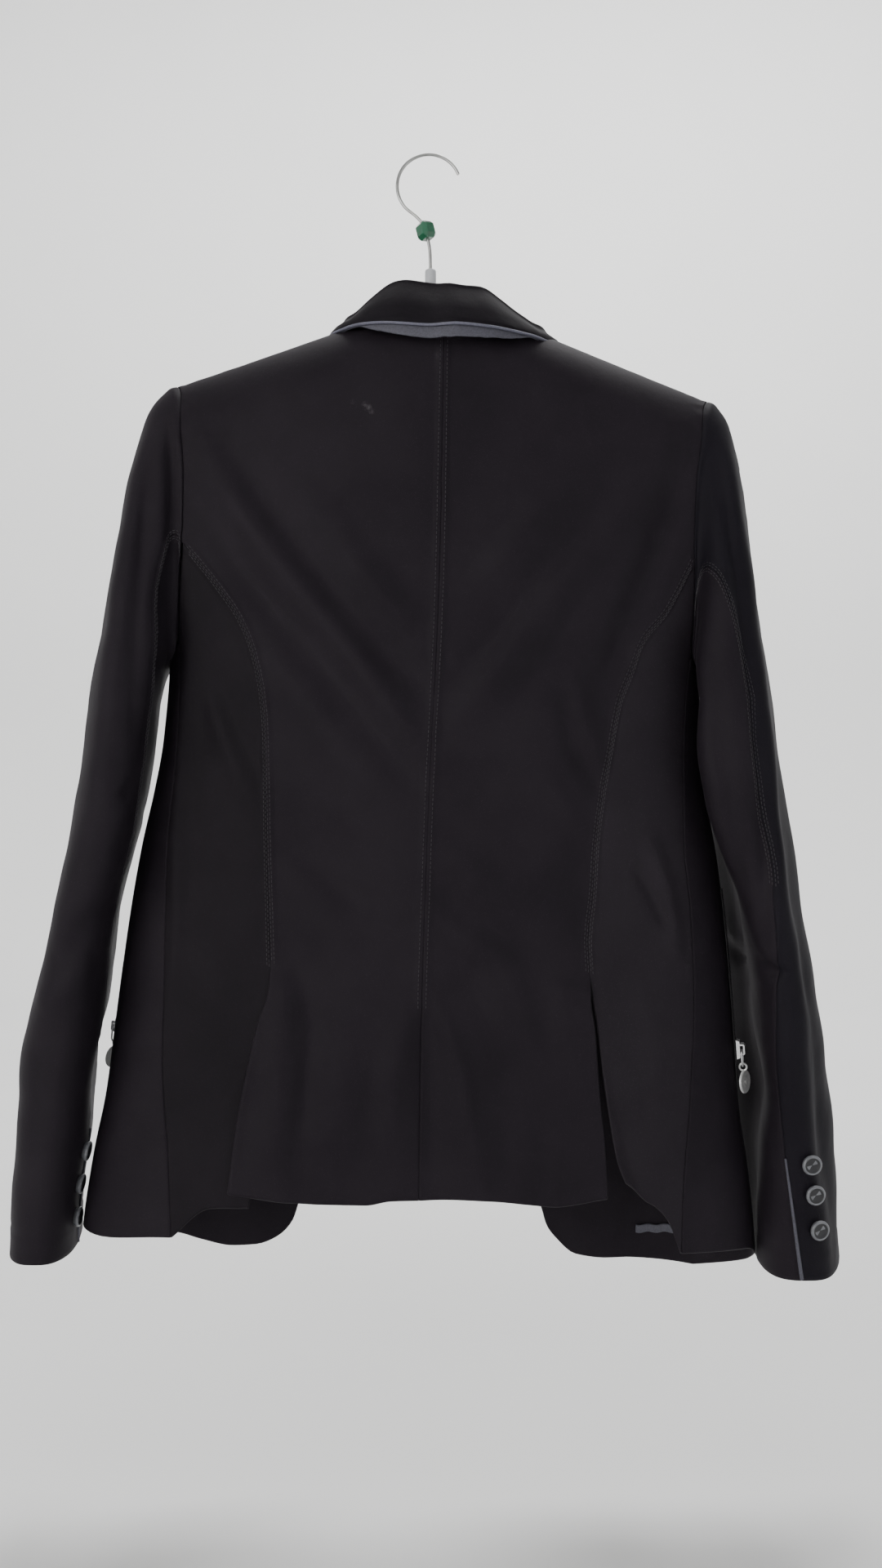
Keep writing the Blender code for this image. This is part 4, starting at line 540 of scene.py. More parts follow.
class Cloth:
    """Grids of outer points that become one thin closed piece."""

    def __init__(self, name, thickness=CLOTH):
        self.name, self.thickness = name, thickness
        self.index, self.points, self.normals, self.faces = {}, [], [], []

    def add(self, points, normals):
        rows, columns = points.shape[:2]
        flip = (np.cross(np.diff(points, axis=0)[:, :-1], np.diff(points, axis=1)[:-1])
                * normals[:-1, :-1]).sum() < 0
        ids = np.empty((rows, columns), int)
        for i in range(rows):
            for j in range(columns):
                key = tuple(np.round(points[i, j], 5))
                if key not in self.index:
                    self.index[key] = len(self.points)
                    self.points.append(points[i, j])
                    self.normals.append(np.zeros(3))
                ids[i, j] = self.index[key]
                self.normals[ids[i, j]] = self.normals[ids[i, j]] + normals[i, j]
        for i in range(rows - 1):
            for j in range(columns - 1):
                face = [ids[i, j], ids[i, j + 1], ids[i + 1, j + 1], ids[i + 1, j]]
                face = [v for n, v in enumerate(face) if v != face[n - 1]]
                if len(face) > 2:
                    self.faces.append(face if flip else face[::-1])

    def build(self, material, body_name="root", replaces=()):
        outer = np.array(self.points)
        normal = np.array(self.normals)
        normal /= np.maximum(np.linalg.norm(normal, axis=1, keepdims=True), 1e-12)
        inner = outer - normal * self.thickness
        count = len(outer)
        edges = {}
        for face in self.faces:
            for a, b in zip(face, face[1:] + face[:1]):
                if (b, a) in edges:
                    del edges[(b, a)]
                else:
                    edges[(a, b)] = True
        rim = list(edges)
        out = np.zeros((count, 3))
        for a, b in rim:
            side = np.cross(outer[b] - outer[a], normal[a])
            side /= max(np.linalg.norm(side), 1e-12)
            out[a] += side
            out[b] += side
        vertices = [outer, inner]
        middle = {}
        extra = []
        for v in sorted({v for edge in rim for v in edge}):
            direction = out[v] / max(np.linalg.norm(out[v]), 1e-12)
            middle[v] = 2 * count + len(extra)
            extra.append((outer[v] + inner[v]) / 2 + direction * self.thickness * 0.42)
        faces = self.faces + [[v + count for v in face[::-1]] for face in self.faces]
        for a, b in rim:
            faces.append([b, a, middle[a], middle[b]])
            faces.append([middle[b], middle[a], a + count, b + count])
        everything = np.concatenate(vertices + ([np.array(extra)] if extra else []))
        mesh = bpy.data.meshes.new(self.name)
        mesh.from_pydata(everything.tolist(), [], faces)
        mesh.shade_smooth()
        return place(self.name, mesh, material, body_name, replaces)


def place(name, mesh, material, body_name="root", replaces=()):
    piece = bpy.data.objects.new(name, mesh)
    mesh.materials.clear()
    mesh.materials.append(material)
    bpy.context.scene.collection.objects.link(piece)
    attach(piece, body_name)
    if replaces:
        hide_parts(*replaces)
    return piece


def unit(vectors):
    return vectors / np.maximum(np.linalg.norm(vectors, axis=-1, keepdims=True), 1e-12)


def on_body(turn, height, side, layer=None):
    """Hung points of the outer surface and their outward normals."""
    def at(t, h):
        return hang(body(t, h, side, layer(t, h, side) if layer else 0.0))
    place_at = at(turn, height)
    across = at(turn + 0.3, height) - at(turn - 0.3, height)
    up = place_at - at(turn, height - 0.0004)
    return place_at, unit(np.cross(across, up) * side)


def distance_from_middle(turn, height):
    sin = np.sin(np.radians(turn))
    return read(BODY, "half_width", height) * np.sign(sin) * np.abs(sin) ** (2 / SQUARENESS)


def flap(turn, height, side):
    x = distance_from_middle(turn, height)
    return (FLAP_LIFT * ease((VENT_TOP - height) / FLAP_RAMP)
            * ease((x - FLAP_START) / (FLAP_END - FLAP_START)))


def overlap(turn, height, side):
    x = distance_from_middle(turn, height)
    return side * OVERLAP * ease((OVERLAP_START - x) / OVERLAP_START)


def armhole_height(way):
    return ARMHOLE_MIDDLE + ARMHOLE_HALF * np.cos(np.radians(way))


def armhole_place(way):
    """Place on the body at a way round the armhole, from the shoulder by the back."""
    back_way = np.where(way <= 180, way, 360 - way)
    turn = read(ARMHOLE, "turn", back_way)
    return np.where(way <= 180, turn, 180 - turn), armhole_height(way)


def way_at(height):
    return np.degrees(np.arccos(np.clip((height - ARMHOLE_MIDDLE) / ARMHOLE_HALF, -1.0, 1.0)))


def through(points, share):
    """Places on a smooth curve through (turn, height) pairs."""
    scale = 0.0035
    points = np.array(points, float)
    lengths = np.hypot(np.diff(points[:, 0]) * scale, np.diff(points[:, 1]))
    ways = np.concatenate([[0.0], np.cumsum(lengths)]) / lengths.sum()
    Row = namedtuple("Row", "way turn height")
    rows = [Row(way, *point) for way, point in zip(ways, points)]
    return read(rows, "turn", share), read(rows, "height", share)


def edge_x(side, height, lower):
    return np.where(height > VENT_TOP, read(PRINCESS[side], "x", height), read(lower[side], "x", height))


def lay(name, grids, cloth, replaces, thickness=CLOTH):
    piece = Cloth(name, thickness)
    for points, normals in grids:
        piece.add(points, normals)
    return piece.build(cloth, "root", replaces)


TOP_STEPS = (0.0, 0.0001, 0.0003, 0.0006, 0.0010, 0.0015, 0.0021, 0.0028, 0.0037, 0.0048, 0.0061, 0.0076,
             0.0093, 0.0112, 0.0134, 0.0160)


def back_panel(side, word, cloth):
    top_z, low = armhole_height(0), BACK_HEM[side][-1]
    middle_low = BACK_HEM[side][0].height

    def top(u):
        x = np.where(u < 0.40, mix(0.0, NECK_X, u / 0.40), mix(NECK_X, TIP_X, (u - 0.40) / 0.60))
        z = np.where(u < 0.40, neck_line(x), shoulder_line(x))
        t, z0 = left(np.zeros(1))
        t1, z1 = right(np.zeros(1))
        turn = np.where(u == 0, t[0], np.where(u == 1, t1[0], turn_at(x, z)))
        return turn, np.where(u == 0, z0[0], np.where(u == 1, z1[0], z))

    def bottom(u):
        x = low.x * u
        z = read(BACK_HEM[side], "height", x)
        return turn_at(x, z), z

    def left(v):
        z = mix(NECK_BACK, middle_low, v)
        return turn_at(side * read(CENTRE_BACK, "x", z), z), z

    def right(v):
        z = mix(top_z, low.height, v)
        above = z > armhole_height(BACK_JUNCTION)
        turn = np.where(above, read(ARMHOLE, "turn", way_at(z)), turn_at(edge_x(side, z, FLAP_EDGE), z))
        return turn, z

    turn, height = patch(top, bottom, left, right, places(SEAM_STEPS, SEAM_STEPS, 0.16),
                         places(TOP_STEPS, EDGE_STEPS, 0.60))
    points, normals = on_body(turn, height, side, flap)
    far = edge_distances(points)
    z = height
    armhole = ease((height[:, -1:] - armhole_height(BACK_JUNCTION)) / 0.004)
    sewn = ease((height[:, -1:] - VENT_TOP) / 0.006) * (1 - armhole)
    ridge = ease((z + 0.640) / 0.016)
    lift = seam(far["left"], z, 0.0009, 1.0, 11) * ridge - GROOVE * (1 - ridge) * np.clip(
        1 - far["left"] / GROOVE_WIDTH, 0, 1)
    lift = lift + seam(far["right"], z, 0.0006, 1.0, 12 + side) * sewn
    lift = lift + seam(far["right"], z, 0.0002, 0.8, 15 + side) * armhole
    shoulder = (far["top"] > -1) * seam(far["top"], points[..., 0], 0.0003, 0.7, 18)
    lift = lift + shoulder * ease((distance_from_middle(turn, height) - NECK_X + 0.004) / 0.004)
    edge = ease((VENT_TOP - height[:, -1:]) / 0.006)
    lift = lift + edge * 0.0005 * np.exp(-((far["right"] - 0.002) / 0.003) ** 2)
    points = points + normals * lift[..., None]
    lay("back_%s_cloth" % word, [(points, normals)], cloth, ["back_" + word])
    keep = height[:, 0] > -0.628
    yield thread_line(points, normals, far["left"], STITCH_OFF, keep)
    keep = (height[:, -1] < armhole_height(BACK_JUNCTION)) & (height[:, -1] > VENT_TOP)
    yield thread_line(points, normals, far["right"], STITCH_OFF, keep)
    yield thread_line(points, normals, far["right"], 0.0012, keep)


def side_places(side, v):
    low = SIDE_HEM[side][0].height
    start, end = armhole_height(BACK_JUNCTION), BACK_HEM[side][-1].height
    z = mix(start, end, v ** 1.15)
    z = np.where(z > VENT_TOP, z, VENT_TOP + (z - VENT_TOP) * (low - VENT_TOP) / (end - VENT_TOP))
    return turn_at(edge_x(side, z, VENT_EDGE), z), z


def side_seam(side, v):
    z = mix(armhole_height(SIDE_JUNCTION), SIDE_HEM[side][-1].height, v)
    start = armhole_place(SIDE_JUNCTION)[0]
    return np.where(v == 0, start, turn_at(read(SIDE_SEAM[side], "x", z), z)), z


VENT_CURL = {LEFT: 0.0016, RIGHT: 0.0050}


def side_panel(side, word, cloth):
    hem = [(float(turn_at(row.x, row.height)), row.height) for row in SIDE_HEM[side]]
    turn, height = patch(lambda u: armhole_place(mix(BACK_JUNCTION, SIDE_JUNCTION, u)),
                         lambda u: through(hem, u), lambda v: side_places(side, v),
                         lambda v: side_seam(side, v), places(SEAM_STEPS, SEAM_STEPS, 0.075),
                         places(EDGE_STEPS, EDGE_STEPS, 0.46))
    points, normals = on_body(turn, height, side)
    far = edge_distances(points)
    sewn = ease((height[:, :1] - VENT_TOP) / 0.006)
    lift = seam(far["left"], height, 0.0006, 1.0, 12 + side) * sewn
    lift = lift + seam(far["right"], height, 0.0, 1.0, 22 + side)
    lift = lift + seam(far["top"], points[..., 0], 0.0, 0.8, 25)
    curl = ease((VENT_TOP - 0.012 - height[:, :1]) / 0.10)
    lift = lift + curl * VENT_CURL[side] * np.exp(-(far["left"] / 0.010) ** 1.5) * (side == RIGHT)
    points = points + normals * lift[..., None]
    lay("side_back_%s_cloth" % word, [(points, normals)], cloth, ["side_back_" + word])
    keep = (height[:, 0] < armhole_height(BACK_JUNCTION) - 0.004) & (height[:, 0] > VENT_TOP)
    yield thread_line(points, normals, far["left"], STITCH_OFF, keep)
    yield thread_line(points, normals, far["left"], 0.0012, keep)


def front_panel(side, word, cloth):
    top_z, split, low_z = armhole_height(0), armhole_height(FRONT_JUNCTION), FRONT_HEM[side][0].height
    start = float(armhole_place(FRONT_JUNCTION)[0])
    lows = UNDERARM_HEM[side]
    first = float(side_seam(side, np.ones(1))[0][0])
    hem = [(first, SIDE_HEM[side][-1].height), (mix(first, FRONT_BORDER_TURN, 1 / 3), lows[1]),
           (mix(first, FRONT_BORDER_TURN, 2 / 3), lows[2]), (FRONT_BORDER_TURN, low_z)]
    shares = places((0.0, 0.002, 0.004), EDGE_STEPS, 0.46)

    def border(w):
        return mix(start, FRONT_BORDER_TURN, w), mix(split, low_z, w)

    under = patch(lambda u: armhole_place(mix(SIDE_JUNCTION, FRONT_JUNCTION, u)),
                  lambda u: through(hem, u), lambda v: side_seam(side, v), border,
                  places(SEAM_STEPS, EDGE_STEPS, 0.085), shares)
    part = (split - top_z) / (low_z - top_z)
    rows = np.concatenate([places(TOP_STEPS, (0.0, 0.002, 0.004), 0.176)[:-1] * part,
                           part + (1 - part) * shares])
    corner = [(float(180 - turn_at(row.x, row.height)), row.height) for row in FRONT_HEM[side]]
    corner[0] = (FRONT_BORDER_TURN, low_z)
    edge_low = FRONT_HEM[side][-1].height

    def left(v):
        z = mix(top_z, low_z, v)
        w = (z - split) / (low_z - split)
        above = 180 - read(ARMHOLE, "turn", way_at(z))
        return np.where(z > split, above, mix(start, FRONT_BORDER_TURN, w)), z

    def right(v):
        z = mix(shoulder_line(NECK_X), edge_low, v)
        return 180 - turn_at(read(FRONT_EDGE, "x", z), z), z

    def top(u):
        x = mix(TIP_X, NECK_X, u)
        z = shoulder_line(x)
        t, z0 = left(np.zeros(1))
        return np.where(u == 0, t[0], 180 - turn_at(x, z)), np.where(u == 0, z0[0], z)

    chest = patch(top, lambda u: through(corner, u), left, right,
                  places(EDGE_STEPS, EDGE_STEPS, 0.150), rows)
    found = []
    for n, (turn, height) in enumerate((under, chest)):
        points, normals = on_body(turn, height, side, overlap)
        far = edge_distances(points)
        if n == 0:
            lift = seam(far["left"], height, 0.0, 1.0, 22 + side)
            lift = lift + seam(far["top"], points[..., 0], 0.0, 0.8, 31)
        else:
            arm = ease((height[:, :1] - split) / 0.004)
            lift = seam(far["left"], height, 0.0002, 0.8, 32 + side) * arm
            lift = lift + seam(far["top"], points[..., 0], 0.0003, 0.7, 18)
        points = points + normals * lift[..., None]
        found.append((points, normals))
    count = len(shares)
    found[1][0][-count:, 0], found[1][1][-count:, 0] = found[0][0][:, -1], found[0][1][:, -1]
    lay("front_%s_cloth" % word, found, cloth, ["front_" + word])


CUFF_DROP = {LEFT: 0.0, RIGHT: 0.008}


def arm_ring(height, side, way):
    """Points of a sleeve ring: way 0 at the body side, 90 towards the back, 180 outside."""
    arm = ARMS[side]
    outer, inner = read(arm, "outer", height), read(arm, "inner", height)
    cos, sin = np.cos(np.radians(way)), np.sin(np.radians(way))
    power = 2 / ARM_SQUARENESS
    across, back = -np.sign(cos) * np.abs(cos) ** power, np.sign(sin) * np.abs(sin) ** power
    x = (outer + inner) / 2 + (outer - inner) / 2 * across - read(arm, "lean", height) * back
    x = x - np.where(way % 360 < 90, read(arm, "lobe", height) * np.sin(np.radians(2 * way)), 0.0)
    x = x - read(arm, "tuck", height) * np.maximum(0.0, -back) * (1 - across) / 2
    y = read(arm, "middle", height) - read(arm, "depth", height) * back
    return np.stack([side * x, y, np.broadcast_to(height, y.shape)], axis=-1)


def sleeve_form(side, way, row):
    """Points of the sleeve: the cap's rows curve out of the armhole, then the rings follow."""
    way, row = np.broadcast_arrays(np.asarray(way, float), np.asarray(row, float))
    cuff = ARMS[side][0].height
    low = arm_ring(mix(ARM_START, cuff, np.maximum(0.0, row - CAP_ROWS) / ARM_ROWS), side, way)
    turn, height = armhole_place((180 - way) % 360)
    gap = (ARMHOLE_GAP + TIP_GAP * np.maximum(0.0, -np.cos(np.radians(way))) ** 4
           + FRONT_GAP * np.maximum(0.0, -np.sin(np.radians(way))))
    start = hang(body(turn, height, side))
    start[..., 0] += side * gap
    end = arm_ring(np.full(way.shape, ARM_START), side, way)
    reach = np.linalg.norm(end - start, axis=-1)[..., None]
    out = start + np.array([side, 0.0, -0.4]) * reach * CAP_OUT[side]
    above = end + np.array([-side * CAP_ROUND, 0.0, CAP_DOWN]) * reach
    t = (np.clip(row / CAP_ROWS, 0.0, 1.0) ** 1.25)[..., None]
    s = 1 - t
    cap = start * s ** 3 + out * 3 * s * s * t + above * 3 * s * t * t + end * t ** 3
    form = np.where(row[..., None] < CAP_ROWS, cap, low)
    ahead = np.maximum(0.0, -np.sin(np.radians(way)))
    form[..., 2] -= CUFF_DROP[side] * ahead * ease((row - CAP_ROWS - ARM_ROWS + 3) / 3)
    return form


PULL_PLACE = {LEFT: (-0.244, 0.014, -0.675), RIGHT: (0.240, -0.008, -0.690)}
PULL_ROOM = 0.0065


def on_sleeve(side, way, row):
    """Points of the sleeve with its creases, and outward normals."""
    base = sleeve_form(side, way, row)
    along = sleeve_form(side, way + 1.5, row) - sleeve_form(side, way - 1.5, row)
    last = CAP_ROWS + ARM_ROWS
    down = (sleeve_form(side, way, np.minimum(last, row + 0.25))
            - sleeve_form(side, way, np.maximum(0.0, row - 0.25)))
    normal = unit(np.cross(down, along) * side)
    x, z = base[..., 0], base[..., 2]
    behind = ease(-normal[..., 1] * 1.6)
    before = ease(normal[..., 1] * 1.6)
    creases = SLEEVE_FOLDS[side]
    lift = folds(creases, x, z) * behind + 0.7 * folds(creases, x + 0.006, z + 0.015) * before
    lift = (lift + waves(x + base[..., 1], z, 8 + side, 0.0004)) * ease(np.asarray(row) / 1.5)
    away = np.linalg.norm(base - PULL_PLACE[side], axis=-1)
    lift = lift - PULL_ROOM * np.exp(-(away / 0.030) ** 2)
    return base + normal * lift[..., None], normal


def elbow_way(side, row):
    height = mix(ARM_START, ARMS[side][0].height, np.maximum(0.0, row - CAP_ROWS) / ARM_ROWS)
    way = 90 - read(ARMS[side], "seam", height)
    share = np.minimum(1.0, row / CAP_ROWS)
    return mix(CAP_SEAM[side], way, share) + SEAM_SWING[side] * np.sin(math.pi * share ** 0.7)


def sleeve(side, word, cloths):
    rows = np.concatenate([np.linspace(0, 1, 60) ** 1.2 * CAP_ROWS,
                           CAP_ROWS + np.linspace(0, ARM_ROWS, 118)[1:]])[:, None]
    elbow = elbow_way(side, rows)
    for part, length in (("top", 0.20), ("under", 0.11)):
        us = places(SEAM_STEPS, SEAM_STEPS[:5], length)
        if part == "top":
            ways = mix(elbow, FRONT_SEAM_WAY, us[None])
        else:
            ways = mix(elbow, FRONT_SEAM_WAY - 360.0, us[None])
        points, normals = on_sleeve(side, ways, rows + 0 * ways)
        far = edge_distances(points)
        z = points[..., 2]
        stitched = ease((z + 0.52) / 0.10)
        lift = seam(far["left"], z, 0.0007, 1.0, 41 + side) * stitched
        lift = lift + seam(far["left"], z, 0.0002, 0.8, 43 + side) * (1 - stitched)
        lift = lift + seam(far["right"], z, 0.0, 0.8, 45)
        head = 0.0011 * np.exp(-((far["top"] - 0.006) / 0.0045) ** 2)
        lift = lift + head + seam(far["top"], z + points[..., 1], 0.0, 0.9, 48) * (far["top"] < 0.02)
        band = far["bottom"]
        lift = lift - 0.0004 * np.exp(-((band - 0.021) / 0.0012) ** 2)
        lift = lift + 0.0003 * (1 - ease((band - 0.018) / 0.004))
        points = points + normals * lift[..., None]
        lay("sleeve_%s_%s_cloth" % (part, word), [(points, normals)], cloths[part],
            ["sleeve_%s_%s" % (part, word)])
        keep = (rows[:, 0] < CAP_ROWS + 4.5)
        yield thread_line(points, normals, far["left"], STITCH_OFF, keep)
        yield thread_line(points, normals, far["left"], 0.0012, keep)


def thread_line(points, normals, distance, off, keep):
    """Line of places on a panel at a distance from one of its seams."""
    if distance[0, 0] > distance[0, -1]:
        points, normals, distance = points[:, ::-1], normals[:, ::-1], distance[:, ::-1]
    line, bent = [], []
    for p, n, d in zip(points[keep], normals[keep], distance[keep]):
        line.append([np.interp(off, d, p[:, k]) for k in range(3)])
        bent.append([np.interp(off, d, n[:, k]) for k in range(3)])
    return np.array(line), np.array(bent)


def stitches(name, lines, thread):
    """Thread that shows on the cloth: short spindles along the lines."""
    rings = ((-0.5, 0.25), (-0.3, 1.0), (0.3, 1.0), (0.5, 0.25))
    vertices, faces = [], []
    for line, bent in lines:
        if len(line) < 2:
            continue
        steps = np.concatenate([[0.0], np.cumsum(np.linalg.norm(np.diff(line, axis=0), axis=1))])
        spots = np.arange(STITCH_PITCH / 2, steps[-1], STITCH_PITCH)
        at = np.stack([np.interp(spots, steps, line[:, k]) for k in range(3)], -1)
        ahead = np.stack([np.interp(spots + 0.001, steps, line[:, k]) for k in range(3)], -1)
        before = np.stack([np.interp(spots - 0.001, steps, line[:, k]) for k in range(3)], -1)
        up = unit(np.stack([np.interp(spots, steps, bent[:, k]) for k in range(3)], -1))
        along = unit(ahead - before)
        beside = np.cross(along, up)
        for n in range(len(spots)):
            base = len(vertices)
            for place_along, wide in rings:
                for k in range(4):
                    a = math.pi / 2 * k
                    vertices.append(at[n] + along[n] * place_along * STITCH_LENGTH
                                    + (up[n] * math.cos(a) + beside[n] * math.sin(a)) * THREAD * wide
                                    + up[n] * THREAD * 0.4)
            for r in range(3):
                for k in range(4):
                    m = (k + 1) % 4
                    low = base + r * 4
                    faces.append([low + k, low + m, low + 4 + m, low + 4 + k])
            faces.append([base + k for k in (3, 2, 1, 0)])
            faces.append([base + 12 + k for k in range(4)])
    mesh = bpy.data.meshes.new(name)
    mesh.from_pydata([tuple(v) for v in vertices], [], faces)
    mesh.shade_smooth()
    return place(name, mesh, thread)


THREAD = 0.00022


def smooth_line(points, steps=6):
    """Catmull-Rom curve through points."""
    points = [np.array(p, float) for p in points]
    ends = [2 * points[0] - points[1]] + points + [2 * points[-1] - points[-2]]
    line = []
    for a, b, c, d in zip(ends, ends[1:], ends[2:], ends[3:]):
        for t in np.arange(steps) / steps:
            line.append(0.5 * (2 * b + (c - a) * t + (2 * a - 5 * b + 4 * c - d) * t * t
                               + (3 * b - a - 3 * c + d) * t ** 3))
    return np.array(line + [points[-1]])


def rod(name, line, radii, material, body_name="root", replaces=(), sides=14, closed=False,
        upright=None):
    """Round or oval bar along a line; radii is (across, up) for each point, or one radius."""
    line = np.array(line, float)
    count = len(line)
    if np.ndim(radii) < 2:
        radii = np.asarray(radii, float).reshape(-1, 1)
    radii = np.broadcast_to(radii, (count, 2))
    if closed:
        tangent = unit(np.roll(line, -1, 0) - np.roll(line, 1, 0))
    else:
        tangent = unit(np.gradient(line, axis=0))
    reference = np.array(upright if upright is not None else (0.0, 1.0, 0.0), float)
    side_way = unit(np.cross(tangent, reference))
    up = np.cross(side_way, tangent)
    angles = np.linspace(0, 2 * math.pi, sides, endpoint=False)
    rings = (line[:, None] + up[:, None] * np.cos(angles)[None, :, None] * radii[:, None, :1]
             + side_way[:, None] * np.sin(angles)[None, :, None] * radii[:, None, 1:])
    vertices = rings.reshape(-1, 3).tolist()
    faces = []
    for n in range(count if closed else count - 1):
        m = (n + 1) % count
        for k in range(sides):
            j = (k + 1) % sides
            faces.append([n * sides + k, n * sides + j, m * sides + j, m * sides + k])
    if not closed:
        for n, order in ((0, -1), (count - 1, 1)):
            vertices.append(tuple(line[n]))
            tip = len(vertices) - 1
            for k in range(sides):
                pair = [n * sides + k, n * sides + (k + 1) % sides]
                faces.append(pair[::order] + [tip])
    mesh = bpy.data.meshes.new(name)
    mesh.from_pydata(vertices, [], faces)
    mesh.shade_smooth()
    tidy(mesh)
    return place(name, mesh, material, body_name, replaces)


def tidy(mesh):
    bm = bmesh.new()
    bm.from_mesh(mesh)
    bmesh.ops.remove_doubles(bm, verts=bm.verts, dist=0.000001)
    bmesh.ops.recalc_face_normals(bm, faces=bm.faces)
    bm.to_mesh(mesh)
    bm.free()
    mesh.shade_smooth()
    mesh.set_sharp_from_angle(angle=math.radians(38))


def turned(name, profile, at, axis, material, body_name="root", replaces=(), steps=40, join=None):
    """Turned piece: profile of (radius, height), set on a place along an axis."""
    turn = Vector((0, 0, 1)).rotation_difference(Vector(axis)).to_matrix()
    vertices, faces = [], []
    for n in range(steps):
        a = 2 * math.pi * n / steps
        for radius, height in profile:
            vertices.append(Vector(at) + turn @ Vector((radius * math.cos(a), radius * math.sin(a), height)))
    size = len(profile)
    for n in range(steps):
        m = (n + 1) % steps
        for k in range(size - 1):
            faces.append([n * size + k, n * size + k + 1, m * size + k + 1, m * size + k])
    mesh = bpy.data.meshes.new(name)
    mesh.from_pydata(vertices, [], faces)
    if join:
        bm = bmesh.new()
        bm.from_mesh(mesh)
        bm.from_mesh(join.data)
        bm.to_mesh(mesh)
        bm.free()
        bpy.data.objects.remove(join)
    tidy(mesh)
    return place(name, mesh, material, body_name, replaces)


def rounded(profile, steps=3):
    """Profile with its corners rounded a little."""
    line = [profile[0]]
    for a, b, c in zip(profile, profile[1:], profile[2:]):
        for t in np.linspace(0.0, 1.0, steps + 1):
            p = mix(np.array(b), np.array(a), 0.22 * (1 - t)) if t < 0.5 else mix(
                np.array(b), np.array(c), 0.22 * t)
            line.append(tuple(p))
    return line + [profile[-1]]


def button(name, at, axis, radius, material):
    h, dish = BUTTON_HEIGHT, BUTTON_DISH
    profile = [(0.0, h - dish - 0.0002), (radius * 0.30, h - dish - 0.0001), (radius * 0.55, h - dish),
               (radius * 0.66, h - dish + 0.0004), (radius * 0.76, h - 0.0002), (radius * 0.84, h),
               (radius * 0.92, h - 0.0002), (radius * 0.98, h - 0.0008), (radius, h - 0.0015),
               (radius * 0.97, h - 0.0023), (radius * 0.84, 0.0002), (radius * 0.80, 0.0), (0.0, 0.0)]
    spot = np.asarray(at) + np.asarray(axis) * 0.0001
    piece = turned(name + "_turned", profile, spot, axis, material[0], "root", [name])
    piece.data.materials.append(material[1])
    across = unit(np.cross(np.asarray(axis), np.array([0.85, 0.0, 0.53])))
    for face in piece.data.polygons:
        off = np.array(face.center) - spot
        off = off - np.asarray(axis) * off.dot(np.asarray(axis))
        away = np.linalg.norm(off)
        bar = away < radius * 0.48 and abs(off.dot(across)) < away * 0.42
        face.material_index = int(away < radius * 0.76 and not bar)
    return piece


BUTTONS_OFF = {LEFT: 0.0135, RIGHT: 0.0168}


def row_at(side, height):
    return CAP_ROWS + ARM_ROWS * (height - ARM_START) / (ARMS[side][0].height - ARM_START)


def cuff_trim(side, word, piping, button_look):
    cuff = ARMS[side][0].height
    heights = np.linspace(cuff + 0.001, cuff + CUFF_VENT, 28)
    rows = row_at(side, heights)
    points, normals = on_sleeve(side, elbow_way(side, rows), rows)
    width = np.linspace(1.0, 0.55, len(heights)) * 0.0014
    width = np.stack([width * 0.8, width], -1)
    rod("cuff_piping_%s_cord" % word, points + normals * 0.0006, width, grey, "root",
        ["cuff_piping_" + word], upright=normals[0])
    for n, height in enumerate(CUFF_BUTTON_HEIGHTS[side]):
        row = row_at(side, height + 0.002)
        ways = elbow_way(side, row) + np.arange(0, 60, 0.5)
        line, _ = on_sleeve(side, ways, np.full(ways.shape, row))
        away = np.linalg.norm(line - line[0], axis=1)
        way = np.interp(BUTTONS_OFF[side], away[:np.argmax(away)], ways[:np.argmax(away)])
        at, axis = on_sleeve(side, np.array([way]), np.array([row]))
        button("cuff_button_%s_%d" % (word, n + 1), at[0], axis[0], BUTTON_RADIUS - 0.0004, button_look)


def neckline(way):
    """Place of the collar's seam: way 0 at the centre back, 1 at the front end of the collar."""
    turning = 0.58
    x = NECK_X * np.sin(np.radians(90 * np.minimum(1.0, way / turning)))
    z = neck_line(x)
    front_z = mix(shoulder_line(NECK_X), COLLAR_END, np.clip((way - turning) / (1 - turning), 0.0, 1.0))
    ahead = 180 - turn_at(read(FRONT_EDGE, "x", front_z), front_z)
    return np.where(way <= turning, turn_at(x, z), ahead), np.where(way <= turning, z, front_z)


COLLAR_WAYS = 56
CRESCENT, CRESCENT_END, CRESCENT_AT = 0.0080, 0.30, 0.0
STAND_COLUMNS = 12
STAND_DEPTH, COLLAR_SLANT = 0.004, 0.0040


